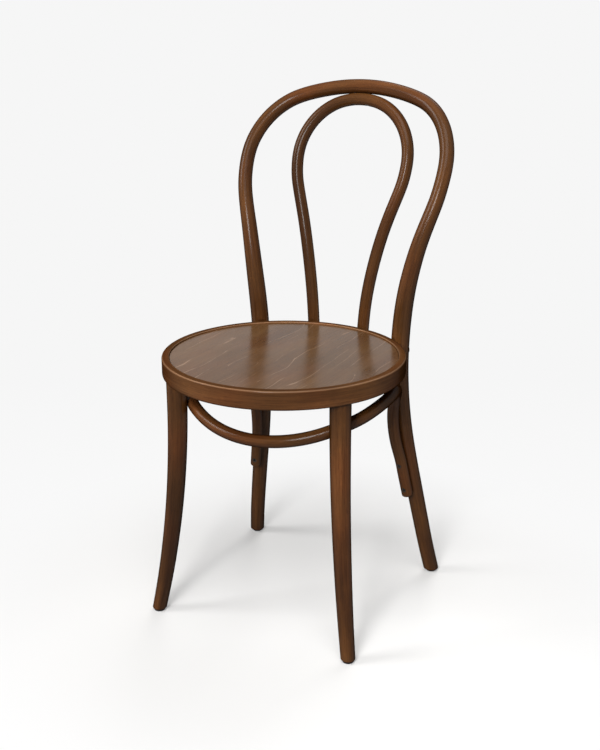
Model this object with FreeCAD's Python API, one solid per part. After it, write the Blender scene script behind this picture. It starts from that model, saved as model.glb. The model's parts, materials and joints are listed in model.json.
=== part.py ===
"""Bentwood bistro chair: a bent back frame, a round rimmed seat, sabre front legs and a leg brace.

Millimetres, +Z up, +Y to the back of the chair. Everything is laid out about the seat's own axis,
and the finished pieces are then moved along Y, so that the origin lies on the floor under the
middle of the chair's outer box.
"""
import FreeCAD, Part
import math
import os

# Seat
SEAT_RADIUS = 203.0
SEAT_HEIGHT = 465.0
RIM_HEIGHT = 32.0
RIM_WIDTH = 40.0
RIM_LIP_WIDTH = 12.5
RIM_TOP_EASE = 2.0
RIM_LIP_EASE = 1.0
RIM_FOOT_EASE = 2.5
PANEL_THICKNESS = 8.0
PANEL_RECESS = 2.5

# Back frame: two rear legs and the outer bow, bent from one rod; rises are above the seat and
# insets are from the seat's edge, because the frame is as wide as the seat
REAR_FOOT_DIAMETER = 27.0
POST_DIAMETER = 32.0
BOW_DIAMETER = 25.0
BOW_TOP_RISE = 411.7
BOW_WIDEST_RISE = 288.8
BOW_CROWN_RADIUS = 372.0
BOW_HIP_RADIUS = 250.0
POST_TAPER_LENGTH = 275.0
WAIST_INSET = 64.5
WAIST_DROP = 50.0
REAR_LEG_BEND_RADIUS = 1186.0
REAR_FOOT_INSET = 13.5
POST_UPRIGHT_RISE = 55.0
REAR_LEG_RAKE = 8.4
REAR_LEG_RAKE_RADIUS = 1620.0
REAR_FOOT_KICK_HEIGHT = 100.0
REAR_FOOT_KICK_RADIUS = 1000.0
BACK_LEAN_RADIUS = 530.0
POST_NOTCH_DEPTH = 1.8

# Inner bow
INNER_BOW_DIAMETER = 21.2
INNER_BOW_HALF_WIDTH = 106.5
INNER_BOW_WIDEST_RISE = 289.3
INNER_BOW_CROWN_RADIUS = 130.0
INNER_BOW_HIP_RADIUS = 170.0
INNER_BOW_WAIST_HALF_WIDTH = 47.5
INNER_BOW_WAIST_DROP = 60.0
INNER_BOW_UPRIGHT_DROP = 25.0
INNER_BOW_TUCK = 23.0
INNER_BOW_END_RISE = 4.0

# Front legs
FRONT_LEG_TOP_DIAMETER = 34.6
FRONT_FOOT_DIAMETER = 24.0
FRONT_LEG_INSET = 23.0
FRONT_LEG_BEARING = -32.8
FRONT_LEG_SPLAY_BEARING = -44.0
FRONT_LEG_STRAIGHT = 37.0
FRONT_LEG_BEND_RADIUS = 1715.0
FRONT_LEG_TAPER_EASE = 1.5
TENON_DIAMETER = 20.0
TENON_LENGTH = 17.0

# Brace: one rod round the inside of the front legs and down the fronts of the rear legs;
# drops are below the rim
BRACE_DIAMETER = 20.8
BRACE_FRONT_REACH = 120.0
BRACE_FRONT_DROP = 82.0
BRACE_LEG_DROP = 56.0
BRACE_LEG_BEARING = 128.0
BRACE_SIDE_INSET = 32.0
BRACE_SIDE_SHARE = 0.78
BRACE_ARM_DROP = 37.0
BRACE_GRIP_DROP = 197.0
BRACE_END_DROP = 264.0
BRACE_GRIP_BEARING = -99.0
BRACE_END_EASE = 2.5
# Rear bends of the brace: outward from a rear leg, in front of it, and up from the arm
BRACE_REAR_BEND = [(30.5, 104.0, 2.0), (24.5, 78.5, 1.0), (13.4, 50.5, -16.0),
                   (2.0, 38.5, -48.0), (-3.0, 35.0, -81.0), (-4.8, 29.5, -128.0)]

# Feet
GLIDE_DIAMETER = 19.0
GLIDE_THICKNESS = 4.0
GLIDE_NAIL_DIAMETER = 2.4
GLIDE_NAIL_LENGTH = 16.0
GLIDE_NAIL_SEAT = 2.4
FOOT_EASE = 2.2

# Fasteners
BOLT_DIAMETER = 6.0
BOLT_HEAD_DIAMETER = 16.0
BOLT_HEAD_HEIGHT = 4.0
BOLT_SINK = 1.5
BOLT_END = 2.5
WASHER_DIAMETER = 16.0
WASHER_THICKNESS = 1.6
NUT_ACROSS_FLATS = 10.0
NUT_HEIGHT = 5.0
SCREW_DIAMETER = 4.5
SCREW_HEAD_DIAMETER = 9.0
SCREW_SINK = 1.2
BOW_TOP_SCREW_LENGTH = 33.0
BOW_TOP_SCREW_SPACING = 26.0
BOW_END_SCREW_LENGTH = 45.0
BRACE_SCREW_LENGTH = 34.0
BRACE_SCREW_SPACING = 48.0
BRACE_SCREW_END_DISTANCE = 13.0
TENON_SCREW_LENGTH = 22.0
PANEL_SCREW_DIAMETER = 3.5
PANEL_SCREW_HEAD_DIAMETER = 7.0
PANEL_SCREW_COUNT = 4
PANEL_SCREW_BITE = 5.0
PANEL_SCREW_INSET = 12.0

# Fits
FIT = 0.2
ROD_FIT = 0.3
HOLE_CLEARANCE = 0.15
PANEL_CLEARANCE = 0.3

# Shares of a stretch at which its centre line gets a point
BRACE_FRONT_SHARES = [0, 0.27, 0.54, 0.8]
BRACE_SIDE_SHARES = [0.7, 0.35]
BRACE_GRIP_SHARES = [0, 0.25, 0.6, 1]
FRONT_LEG_SHARES = [0.85, 0.7, 0.55, 0.4, 0.25, 0.12, 0]
REAR_FOOT_SHARES = [0.25, 0.5, 0.7, 0.85, 1.0]

# Rings along each bent rod, spaced by its curvature plus a least curvature; half lengths of straights
BACK_FRAME_RINGS = 41
INNER_BOW_RINGS = 23
BRACE_RINGS = 31
FRONT_LEG_RINGS = 8
RING_SAMPLES = 8
RING_GAP = 4.0
LEAST_CURVATURE = 0.0006
SCREW_STRAIGHT = 8.0
NOTCH_STRAIGHT = 24.0
FOOT_STRAIGHT = 22.0

RIM_BOTTOM = SEAT_HEIGHT - RIM_HEIGHT
RIM_INNER_RADIUS = SEAT_RADIUS - RIM_WIDTH
LEDGE_RADIUS = SEAT_RADIUS - RIM_LIP_WIDTH
LEDGE_HEIGHT = SEAT_HEIGHT - PANEL_RECESS - PANEL_THICKNESS
FASTENER_HEIGHT = (RIM_BOTTOM + LEDGE_HEIGHT) / 2
BOW_HALF_WIDTH = SEAT_RADIUS - BOW_DIAMETER / 2
WAIST_HALF_WIDTH = SEAT_RADIUS - WAIST_INSET
REAR_FOOT_HALF_SPREAD = SEAT_RADIUS - REAR_FOOT_INSET
WAIST_HEIGHT = SEAT_HEIGHT - WAIST_DROP
BOW_TOP_HEIGHT = SEAT_HEIGHT + BOW_TOP_RISE
POST_UPRIGHT_HEIGHT = SEAT_HEIGHT + POST_UPRIGHT_RISE
INNER_BOW_UPRIGHT_HEIGHT = SEAT_HEIGHT - INNER_BOW_UPRIGHT_DROP
BRACE_LEG_HEIGHT = RIM_BOTTOM - BRACE_LEG_DROP
BRACE_ARM_HEIGHT = RIM_BOTTOM - BRACE_ARM_DROP
BRACE_GRIP_HEIGHT = RIM_BOTTOM - BRACE_GRIP_DROP
BRACE_END_HEIGHT = RIM_BOTTOM - BRACE_END_DROP
BRACE_SCREW_HEIGHTS = [BRACE_END_HEIGHT + BRACE_SCREW_END_DISTANCE,
                       BRACE_END_HEIGHT + BRACE_SCREW_END_DISTANCE + BRACE_SCREW_SPACING]
SIDES = {"left": -1, "right": 1}
UP = FreeCAD.Vector(0, 0, 1)


def vector(x, y, z):
    """Shorthand for a point or a direction."""
    return FreeCAD.Vector(x, y, z)


def bearing(degrees, side=1):
    """Horizontal unit direction, measured from +X towards +Y, and mirrored on the left side."""
    angle = math.radians(degrees)
    return vector(side * math.cos(angle), math.sin(angle), 0)


def mirrored(point):
    """The same point on the other side of the chair."""
    return vector(-point.x, point.y, point.z)


def both_sides(right):
    """Whole centre line from its right half, which starts in the middle of the chair."""
    return [mirrored(point) for point in reversed(right[1:])] + right


def aligned(solid, point, direction):
    """A solid made at the origin along +Z, moved to a point and turned along a direction."""
    solid.Placement = FreeCAD.Placement(point, FreeCAD.Rotation(UP, direction))
    return solid


def ease(share):
    """Smooth step from 0 to 1."""
    share = min(max(share, 0.0), 1.0)
    return share * share * (3 - 2 * share)


def arc_points(centre_x, centre_z, radius, start, end, count):
    """Points (x, z) along an arc, with angles in radians from +X towards +Z."""
    points = []
    for step in range(count):
        angle = start + (end - start) * step / (count - 1)
        points.append((centre_x + radius * math.cos(angle), centre_z + radius * math.sin(angle)))
    return points


def bow_outline(top, half_width, widest, crown_radius, hip_radius, waist_half_width, waist):
    """Right half of a bow from the front: crown, shoulder, hip and waist arcs, each tangent to the next.

    The points run from the middle of the crown down to the waist, where the bow stands upright.
    """
    crown_drop = widest - top + crown_radius
    shoulder_radius = (crown_radius ** 2 - half_width ** 2 - crown_drop ** 2) / (2 * (crown_radius - half_width))
    crown_end = math.atan2(crown_drop, half_width - shoulder_radius)
    hip_turn = 2 * math.atan2(half_width - waist_half_width, widest - waist)
    waist_radius = (widest - waist) / math.sin(hip_turn) - hip_radius
    points = arc_points(0, top - crown_radius, crown_radius, math.pi / 2, crown_end, 4)
    points += arc_points(half_width - shoulder_radius, widest, shoulder_radius, crown_end, 0, 9)[1:]
    points += arc_points(half_width - hip_radius, widest, hip_radius, 0, -hip_turn, 4)[1:]
    points += arc_points(waist_half_width + waist_radius, waist, waist_radius,
                         math.pi - hip_turn, math.pi, 7)[1:]
    return points


def rear_leg_outline():
    """Right rear leg from the front, from the waist to the floor: one bend, then a straight stretch."""
    centre_x = WAIST_HALF_WIDTH + REAR_LEG_BEND_RADIUS
    reach = centre_x - REAR_FOOT_HALF_SPREAD
    splay = math.atan2(WAIST_HEIGHT, reach) - math.acos(REAR_LEG_BEND_RADIUS / math.hypot(reach, WAIST_HEIGHT))
    points = arc_points(centre_x, WAIST_HEIGHT, REAR_LEG_BEND_RADIUS, math.pi, math.pi + splay, 5)[1:]
    bend_x, bend_z = points[-1]
    for share in REAR_FOOT_SHARES:
        points.append((bend_x + (REAR_FOOT_HALF_SPREAD - bend_x) * share, bend_z * (1 - share)))
    return points


def width_at(outline, height):
    """Half width of an outline at a height, between its two nearest points."""
    for (upper_x, upper_z), (lower_x, lower_z) in zip(outline, outline[1:]):
        if lower_z <= height <= upper_z:
            share = (height - lower_z) / (upper_z - lower_z)
            return lower_x + (upper_x - lower_x) * share
    return outline[-1][0]


def lean(height):
    """How far the back frame stands behind its foremost line, at a height."""
    if height > POST_UPRIGHT_HEIGHT:
        rise = height - POST_UPRIGHT_HEIGHT
        return BACK_LEAN_RADIUS - math.sqrt(BACK_LEAN_RADIUS ** 2 - rise ** 2)
    drop = POST_UPRIGHT_HEIGHT - height
    rake = math.radians(REAR_LEG_RAKE)
    bend = REAR_LEG_RAKE_RADIUS * math.sin(rake)
    if drop <= bend:
        return REAR_LEG_RAKE_RADIUS - math.sqrt(REAR_LEG_RAKE_RADIUS ** 2 - drop ** 2)
    kick = max(REAR_FOOT_KICK_HEIGHT - height, 0)
    offset = REAR_LEG_RAKE_RADIUS * (1 - math.cos(rake)) + (drop - bend) * math.tan(rake)
    return offset + kick ** 2 / (2 * REAR_FOOT_KICK_RADIUS)


def post_radius(height):
    """Radius of the back frame's rod, thickest at the seat."""
    if height > SEAT_HEIGHT:
        share = ease((height - SEAT_HEIGHT) / POST_TAPER_LENGTH)
        return (POST_DIAMETER + (BOW_DIAMETER - POST_DIAMETER) * share) / 2
    share = max(height, 0) / SEAT_HEIGHT
    return (REAR_FOOT_DIAMETER + (POST_DIAMETER - REAR_FOOT_DIAMETER) * share) / 2


FRAME_OUTLINE = bow_outline(BOW_TOP_HEIGHT, BOW_HALF_WIDTH, SEAT_HEIGHT + BOW_WIDEST_RISE, BOW_CROWN_RADIUS,
                            BOW_HIP_RADIUS, WAIST_HALF_WIDTH, WAIST_HEIGHT) + rear_leg_outline()


def hugging_depth(half_width, radius):
    """Y at which a rod stands against the rim, let in by the notch."""
    distance = SEAT_RADIUS + radius - POST_NOTCH_DEPTH
    return math.sqrt(distance ** 2 - half_width ** 2)


FRAME_FRONT_LINE = hugging_depth(width_at(FRAME_OUTLINE, FASTENER_HEIGHT),
                                 post_radius(FASTENER_HEIGHT)) - lean(FASTENER_HEIGHT)


def frame_point(half_width, height):
    """Point of the back frame's centre line."""
    return vector(half_width, FRAME_FRONT_LINE + lean(height), height)


def rear_leg_axis(height, side):
    """Centre of a rear leg or post at a height."""
    return frame_point(side * width_at(FRAME_OUTLINE, height), height)


def front_leg_axis(height, side):
    """Centre of a front leg at a height: upright below the rim, then one long outward bend."""
    drop = max(RIM_BOTTOM - FRONT_LEG_STRAIGHT - height, 0)
    splay = FRONT_LEG_BEND_RADIUS - math.sqrt(FRONT_LEG_BEND_RADIUS ** 2 - drop ** 2)
    point = bearing(FRONT_LEG_BEARING, side) * (SEAT_RADIUS - FRONT_LEG_INSET)
    return point + bearing(FRONT_LEG_SPLAY_BEARING, side) * splay + UP * height


def front_leg_radius(height):
    """Radius of a front leg, tapering from the rim to the foot."""
    share = 1 - (1 - min(max(height / RIM_BOTTOM, 0), 1)) ** FRONT_LEG_TAPER_EASE
    return (FRONT_FOOT_DIAMETER + (FRONT_LEG_TOP_DIAMETER - FRONT_FOOT_DIAMETER) * share) / 2


def beside(axis_at, height, side, direction, distance):
    """Point beside a leg, level with its axis at a height and at a distance measured square to the axis."""
    along = (axis_at(height + 1, side) - axis_at(height - 1, side)).normalize()
    return axis_at(height, side) + direction * (distance / math.sqrt(1 - along.dot(direction) ** 2))


def inner_bow_line():
    """Right half of the inner bow's centre line, from its crown to its end behind the rim."""
    tuck = math.radians(INNER_BOW_TUCK)
    spacing = (BOW_DIAMETER + INNER_BOW_DIAMETER) / 2 + ROD_FIT
    crown = frame_point(0, BOW_TOP_HEIGHT) - vector(0, math.sin(tuck), math.cos(tuck)) * spacing
    outline = bow_outline(crown.z, INNER_BOW_HALF_WIDTH, SEAT_HEIGHT + INNER_BOW_WIDEST_RISE,
                          INNER_BOW_CROWN_RADIUS, INNER_BOW_HIP_RADIUS, INNER_BOW_WAIST_HALF_WIDTH,
                          SEAT_HEIGHT - INNER_BOW_WAIST_DROP)
    end_height = RIM_BOTTOM + INNER_BOW_END_RISE
    end_width = width_at(outline, end_height)
    front_line = hugging_depth(end_width, INNER_BOW_DIAMETER / 2)
    rise = crown.z - INNER_BOW_UPRIGHT_HEIGHT
    depth = crown.y - front_line
    curve_radius = (rise ** 2 + depth ** 2) / (2 * depth)
    line = []
    for half_width, height in outline:
        if height > end_height + INNER_BOW_DIAMETER:
            above = max(height - INNER_BOW_UPRIGHT_HEIGHT, 0)
            setback = curve_radius - math.sqrt(curve_radius ** 2 - above ** 2)
            line.append(vector(half_width, front_line + setback, height))
    line.append(vector(end_width, front_line, end_height))
    return line


def brace_at_front_leg(side):
    """Centre of the brace where it passes a front leg."""
    distance = front_leg_radius(BRACE_LEG_HEIGHT) + BRACE_DIAMETER / 2 + ROD_FIT
    return beside(front_leg_axis, BRACE_LEG_HEIGHT, side, bearing(BRACE_LEG_BEARING, side), distance)


def brace_at_rear_leg(height, side):
    """Centre of the brace where it lies along a rear leg."""
    distance = post_radius(height) + BRACE_DIAMETER / 2 + ROD_FIT
    return beside(rear_leg_axis, height, side, bearing(BRACE_GRIP_BEARING, side), distance)


def brace_line():
    """Right half of the brace's centre line, from the middle of its front to its end."""
    at_leg = brace_at_front_leg(1)
    front_height = RIM_BOTTOM - BRACE_FRONT_DROP
    depth = at_leg.y + BRACE_FRONT_REACH
    front_radius = (at_leg.x ** 2 + depth ** 2) / (2 * depth)
    front_turn = math.asin(at_leg.x / front_radius)
    line = []
    for share in BRACE_FRONT_SHARES:
        line.append(vector(front_radius * math.sin(front_turn * share),
                           front_radius * (1 - math.cos(front_turn * share)) - BRACE_FRONT_REACH,
                           front_height + (at_leg.z - front_height) * share ** 2))
    line.append(at_leg)
    bends = []
    for outward, ahead, up in BRACE_REAR_BEND:
        height = BRACE_ARM_HEIGHT + up
        bends.append(rear_leg_axis(height, 1) + vector(outward, -ahead, 0))
    side_point = vector(SEAT_RADIUS - BRACE_SIDE_INSET,
                        at_leg.y + (bends[0].y - at_leg.y) * BRACE_SIDE_SHARE, BRACE_ARM_HEIGHT)
    back = side_point - at_leg
    for share in BRACE_SIDE_SHARES:
        line.append(side_point - vector(back.x * share ** 3, back.y * share, back.z * share ** 2))
    line.append(side_point)
    line += bends
    for share in BRACE_GRIP_SHARES:
        height = BRACE_GRIP_HEIGHT + (BRACE_END_HEIGHT - BRACE_GRIP_HEIGHT) * share
        line.append(brace_at_rear_leg(height, 1))
    return line


def ring_places(curve, rings):
    """Distances along a curve for rings, closer together where it bends harder."""
    samples = RING_SAMPLES * rings
    step_length = curve.length() / samples
    weights = [math.sqrt(curve.curvature(curve.parameterAtDistance(step_length * step)) + LEAST_CURVATURE)
               for step in range(samples)]
    share = sum(weights) / (rings - 1)
    places = [0.0]
    passed = 0.0
    for step, weight in enumerate(weights):
        passed += weight
        if passed >= share * len(places):
            places.append(step_length * (step + 1))
    places[-1] = curve.length()
    return places


def bent_rod(points, radius_at, rings, straights):
    """Round rod along a smooth curve through points: rings set square to the curve, joined in order.

    Each straight is a point and half a length: the rod is a plain cylinder there, for a screw,
    a notch or a sawn end.
    """
    curve = Part.BSplineCurve()
    curve.interpolate(points)
    stretches = []
    for point, half in straights:
        middle = curve.length(curve.FirstParameter, curve.parameter(point))
        stretches.append((max(middle - half, 0), middle, min(middle + half, curve.length())))
    places = [(place, place) for place in ring_places(curve, rings)
              if all(place < low - RING_GAP or place > high + RING_GAP for low, _middle, high in stretches)]
    for low, middle, high in stretches:
        places += [(low, middle), (high, middle)]
    across = None
    sections = []
    for place, reference in sorted(places):
        parameter = curve.parameterAtDistance(reference)
        along = curve.tangent(parameter)[0].normalize()
        centre = curve.value(parameter)
        if across is None:
            across = along.cross(vector(0.3, 1, 0.2))
        across = (across - along * across.dot(along)).normalize()
        ring = Part.Wire(Part.makeCircle(radius_at(centre.z)))
        turn = FreeCAD.Rotation(across, along.cross(across), along, "ZXY")
        ring.Placement = FreeCAD.Placement(centre + along * (place - reference), turn)
        sections.append(ring)
    return Part.makeLoft(sections, True, True)


def past_floor(line):
    """A leg's centre line, run on far enough below the floor to be sawn off."""
    return line + [line[-1] + (line[-1] - line[-2]).normalize() * GLIDE_DIAMETER]


def flat_footed(leg):
    """Leg sawn level on top of its glides, with the sawn edges eased."""
    side = 4 * SEAT_RADIUS
    sawn = leg.cut(Part.makeBox(2 * side, 2 * side, side, vector(-side, -side, GLIDE_THICKNESS - side)))
    edges = [edge for edge in sawn.Edges if edge.BoundBox.ZMax < GLIDE_THICKNESS + 0.01]
    return sawn.makeChamfer(FOOT_EASE, edges)


def circle_edges(solid, radius, height):
    """Level circular edges of a given radius and height."""
    found = []
    for edge in solid.Edges:
        if isinstance(edge.Curve, Part.Circle) and abs(edge.Curve.Radius - radius) < 0.01:
            if abs(edge.Curve.Center.z - height) < 0.01:
                found.append(edge)
    return found


class Screws:
    """Like countersunk wood screws, each placed by the face of its head and its direction."""

    def __init__(self, length, diameter=SCREW_DIAMETER, head_diameter=SCREW_HEAD_DIAMETER):
        self.length = length
        self.radius = diameter / 2
        self.head_radius = head_diameter / 2
        self.places = []

    def add(self, head, along):
        """Put in one screw, with its head sunk below the surface that the point lies on."""
        self.places.append((head + along * SCREW_SINK, along))

    def solids(self, clearance=0.0):
        """The screws, or with a clearance the room they fill."""
        head_radius = self.head_radius + clearance
        radius = self.radius + clearance
        rings = [(head_radius, 0), (radius, head_radius - radius), (radius, self.length + clearance)]
        circles = [Part.Wire(Part.makeCircle(size, UP * depth)) for size, depth in rings]
        return [aligned(Part.makeLoft(circles, True, True), head, along) for head, along in self.places]

    def holes(self):
        """Holes for the screws, open outwards from their heads."""
        mouth_radius = self.head_radius + HOLE_CLEARANCE
        mouths = [Part.makeCylinder(mouth_radius, 2 * mouth_radius, head, along * -1)
                  for head, along in self.places]
        return self.solids(HOLE_CLEARANCE) + mouths


def brace_front_screws():
    """Screws through the brace into the front legs."""
    screws = Screws(BRACE_SCREW_LENGTH)
    for side in SIDES.values():
        outward = bearing(BRACE_LEG_BEARING, side)
        screws.add(brace_at_front_leg(side) + outward * (BRACE_DIAMETER / 2), outward * -1)
    return screws


def brace_rear_screws():
    """Two screws on each side, through the brace into a rear leg."""
    screws = Screws(BRACE_SCREW_LENGTH)
    for side in SIDES.values():
        outward = bearing(BRACE_GRIP_BEARING, side)
        for height in BRACE_SCREW_HEIGHTS:
            centre = brace_at_rear_leg(height, side)
            screws.add(centre + outward * (BRACE_DIAMETER / 2), outward * -1)
    return screws


def bow_top_screws():
    """Screws from under the inner bow's crown into the outer bow."""
    screws = Screws(BOW_TOP_SCREW_LENGTH)
    tuck = math.radians(INNER_BOW_TUCK)
    along = vector(0, math.sin(tuck), math.cos(tuck))
    half = BOW_TOP_SCREW_SPACING / 2
    sag = INNER_BOW_CROWN_RADIUS - math.sqrt(INNER_BOW_CROWN_RADIUS ** 2 - half ** 2)
    crown = inner_bow_line()[0] - UP * sag - along * (INNER_BOW_DIAMETER / 2)
    for side in SIDES.values():
        screws.add(crown + vector(side * half, 0, 0), along)
    return screws


def bow_end_screws():
    """Screws from behind, through the ends of the inner bow into the rim."""
    screws = Screws(BOW_END_SCREW_LENGTH)
    end = inner_bow_line()[-1]
    for side in SIDES.values():
        outward = vector(side * end.x, end.y, 0).normalize()
        axis = vector(side * end.x, end.y, FASTENER_HEIGHT)
        screws.add(axis + outward * (INNER_BOW_DIAMETER / 2), outward * -1)
    return screws


def tenon_screws():
    """Screws from inside the rim into the tenons of the front legs."""
    screws = Screws(TENON_SCREW_LENGTH)
    for side in SIDES.values():
        outward = bearing(FRONT_LEG_BEARING, side)
        screws.add(outward * RIM_INNER_RADIUS + UP * FASTENER_HEIGHT, outward)
    return screws


def panel_screws():
    """Screws from under the rim's ledge into the panel."""
    length = LEDGE_HEIGHT - RIM_BOTTOM - SCREW_SINK + PANEL_SCREW_BITE
    screws = Screws(length, PANEL_SCREW_DIAMETER, PANEL_SCREW_HEAD_DIAMETER)
    for index in range(PANEL_SCREW_COUNT):
        outward = bearing(360 * index / PANEL_SCREW_COUNT)
        screws.add(outward * (RIM_INNER_RADIUS + PANEL_SCREW_INSET) + UP * RIM_BOTTOM, UP)
    return screws


class SeatBolt:
    """Round-headed bolt from behind a post, through the post and the rim, to a washer and nut inside."""

    def __init__(self, side):
        axis = rear_leg_axis(FASTENER_HEIGHT, side)
        self.outward = vector(axis.x, axis.y, 0).normalize()
        self.inward = self.outward * -1
        self.head = axis + self.outward * (post_radius(FASTENER_HEIGHT) - BOLT_SINK)
        # A flat washer on the hollow side of the ring bears on its two outer edges
        washer_distance = math.sqrt(RIM_INNER_RADIUS ** 2 - (WASHER_DIAMETER / 2) ** 2)
        self.washer_face = self.outward * washer_distance + UP * FASTENER_HEIGHT
        self.nut_face = self.washer_face + self.inward * WASHER_THICKNESS
        self.length = (self.head - self.nut_face).Length + NUT_HEIGHT + BOLT_END

    def shank(self, clearance=0.0):
        """The bolt's shank, or with a clearance its hole."""
        return Part.makeCylinder(BOLT_DIAMETER / 2 + clearance, self.length, self.head, self.inward)

    def bolt(self):
        """Shank and domed head."""
        half = BOLT_HEAD_DIAMETER / 2
        dome_radius = (half ** 2 + BOLT_HEAD_HEIGHT ** 2) / (2 * BOLT_HEAD_HEIGHT)
        base_angle = math.degrees(math.asin((dome_radius - BOLT_HEAD_HEIGHT) / dome_radius))
        centre = self.head - self.outward * (dome_radius - BOLT_HEAD_HEIGHT)
        dome = Part.makeSphere(dome_radius, centre, self.outward, base_angle, 90)
        return self.shank().fuse(dome)

    def head_room(self):
        """Shallow seat for the head in the back of the post."""
        return Part.makeCylinder(BOLT_HEAD_DIAMETER / 2 + FIT, BOLT_HEAD_DIAMETER, self.head, self.outward)

    def washer(self):
        """Flat washer against the inside of the rim."""
        disc = Part.makeCylinder(WASHER_DIAMETER / 2, WASHER_THICKNESS, self.washer_face, self.inward)
        return disc.cut(self.shank(HOLE_CLEARANCE))

    def nut(self):
        """Hexagon nut on the washer."""
        corner = NUT_ACROSS_FLATS / math.sqrt(3)
        corners = [bearing(60 * index) * corner for index in range(7)]
        prism = Part.Face(Part.makePolygon(corners)).extrude(UP * NUT_HEIGHT)
        return aligned(prism, self.nut_face, self.inward).cut(self.shank(HOLE_CLEARANCE))


def rim_bite():
    """Room that the rim takes out of the rods that hug it."""
    return Part.makeCylinder(SEAT_RADIUS + FIT, RIM_HEIGHT + 2 * FIT, vector(0, 0, RIM_BOTTOM - FIT))


def back_frame(holes):
    """Rear legs, posts and outer bow in one bent rod, notched where the posts hug the rim."""
    line = past_floor([frame_point(x, z) for x, z in FRAME_OUTLINE])
    straights = []
    for side in SIDES.values():
        straights.append((rear_leg_axis(0, side), FOOT_STRAIGHT))
        straights.append((rear_leg_axis(FASTENER_HEIGHT, side), NOTCH_STRAIGHT))
        straights += [(rear_leg_axis(height, side), SCREW_STRAIGHT) for height in BRACE_SCREW_HEIGHTS]
        straights.append((frame_point(side * BOW_TOP_SCREW_SPACING / 2, BOW_TOP_HEIGHT), SCREW_STRAIGHT))
    rod = bent_rod(both_sides(line), post_radius, BACK_FRAME_RINGS, straights)
    return flat_footed(rod).cut([rim_bite()] + holes)


def inner_bow(holes):
    """Slim bow inside the outer one, touching it at the crown and notched behind the rim."""
    def radius_at(_height):
        """The rod has no taper."""
        return INNER_BOW_DIAMETER / 2
    line = inner_bow_line()
    straights = []
    for side in SIDES.values():
        straights.append((vector(side * line[-1].x, line[-1].y, line[-1].z), NOTCH_STRAIGHT + RIM_HEIGHT / 2))
        straights.append((line[0] + vector(side * BOW_TOP_SCREW_SPACING / 2, 0, 0), SCREW_STRAIGHT))
    rod = bent_rod(both_sides(line), radius_at, INNER_BOW_RINGS, straights)
    return rod.cut([rim_bite()] + holes)


def brace_hoop(holes):
    """Bent rod that ties the front legs to the rear legs, with eased ends."""
    def radius_at(_height):
        """The rod has no taper."""
        return BRACE_DIAMETER / 2
    straights = []
    for side in SIDES.values():
        straights.append((brace_at_front_leg(side), SCREW_STRAIGHT))
        straights.append((brace_at_rear_leg(BRACE_SCREW_HEIGHTS[0], side), BRACE_SCREW_END_DISTANCE + SCREW_STRAIGHT))
        straights.append((brace_at_rear_leg(BRACE_SCREW_HEIGHTS[1], side), SCREW_STRAIGHT))
    rod = bent_rod(both_sides(brace_line()), radius_at, BRACE_RINGS, straights)
    ends = [edge for edge in rod.Edges
            if edge.isClosed() and abs(edge.CenterOfMass.z - BRACE_END_HEIGHT) < 0.5]
    return rod.makeChamfer(BRACE_END_EASE, ends).cut(holes)


def front_leg(side, holes):
    """Sabre leg with a round tenon that stands in the rim."""
    shoulder = front_leg_axis(RIM_BOTTOM, side)
    line = [shoulder + UP * TENON_LENGTH, shoulder]
    for share in FRONT_LEG_SHARES:
        line.append(front_leg_axis(RIM_BOTTOM * share, side))
    straights = [(shoulder, TENON_LENGTH), (front_leg_axis(BRACE_LEG_HEIGHT, side), SCREW_STRAIGHT),
                 (front_leg_axis(0, side), FOOT_STRAIGHT)]
    rod = bent_rod(past_floor(line), front_leg_radius, FRONT_LEG_RINGS, straights)
    leg = flat_footed(rod).cut(rim_bite())
    tenon = Part.makeCylinder(TENON_DIAMETER / 2, 2 * TENON_LENGTH, shoulder - UP * TENON_LENGTH)
    return leg.fuse(tenon).cut(holes)


def mortise(side):
    """Blind hole in the rim for the tenon of a front leg."""
    return Part.makeCylinder(TENON_DIAMETER / 2 + HOLE_CLEARANCE, TENON_LENGTH + FIT,
                             front_leg_axis(RIM_BOTTOM, side))


def seat_rim(holes):
    """Bent ring with a ledge for the panel and rounded edges."""
    rim = Part.makeCylinder(SEAT_RADIUS, RIM_HEIGHT, vector(0, 0, RIM_BOTTOM))
    rim = rim.cut(Part.makeCylinder(RIM_INNER_RADIUS, RIM_HEIGHT, vector(0, 0, RIM_BOTTOM)))
    rim = rim.cut(Part.makeCylinder(LEDGE_RADIUS, RIM_HEIGHT, vector(0, 0, LEDGE_HEIGHT)))
    rim = rim.makeChamfer(RIM_FOOT_EASE, circle_edges(rim, SEAT_RADIUS, RIM_BOTTOM))
    rim = rim.makeChamfer(RIM_TOP_EASE, circle_edges(rim, SEAT_RADIUS, SEAT_HEIGHT))
    rim = rim.makeChamfer(RIM_LIP_EASE, circle_edges(rim, LEDGE_RADIUS, SEAT_HEIGHT))
    return rim.cut(holes)


def seat_panel(holes):
    """Plywood disc lying on the ledge of the rim."""
    panel = Part.makeCylinder(LEDGE_RADIUS - PANEL_CLEARANCE, PANEL_THICKNESS, vector(0, 0, LEDGE_HEIGHT))
    return panel.cut(holes)


def glide_nail(foot, clearance=0.0):
    """Nail that holds a glide, or with a clearance its hole."""
    bottom = vector(foot.x, foot.y, GLIDE_THICKNESS - GLIDE_NAIL_SEAT - clearance)
    return Part.makeCylinder(GLIDE_NAIL_DIAMETER / 2 + clearance, GLIDE_NAIL_LENGTH + 2 * clearance, bottom)


def glide(foot):
    """Round pad under a foot, closed below and with a blind hole for its nail."""
    pad = Part.makeCylinder(GLIDE_DIAMETER / 2, GLIDE_THICKNESS, vector(foot.x, foot.y, 0))
    return pad.cut(glide_nail(foot, HOLE_CLEARANCE))


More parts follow.
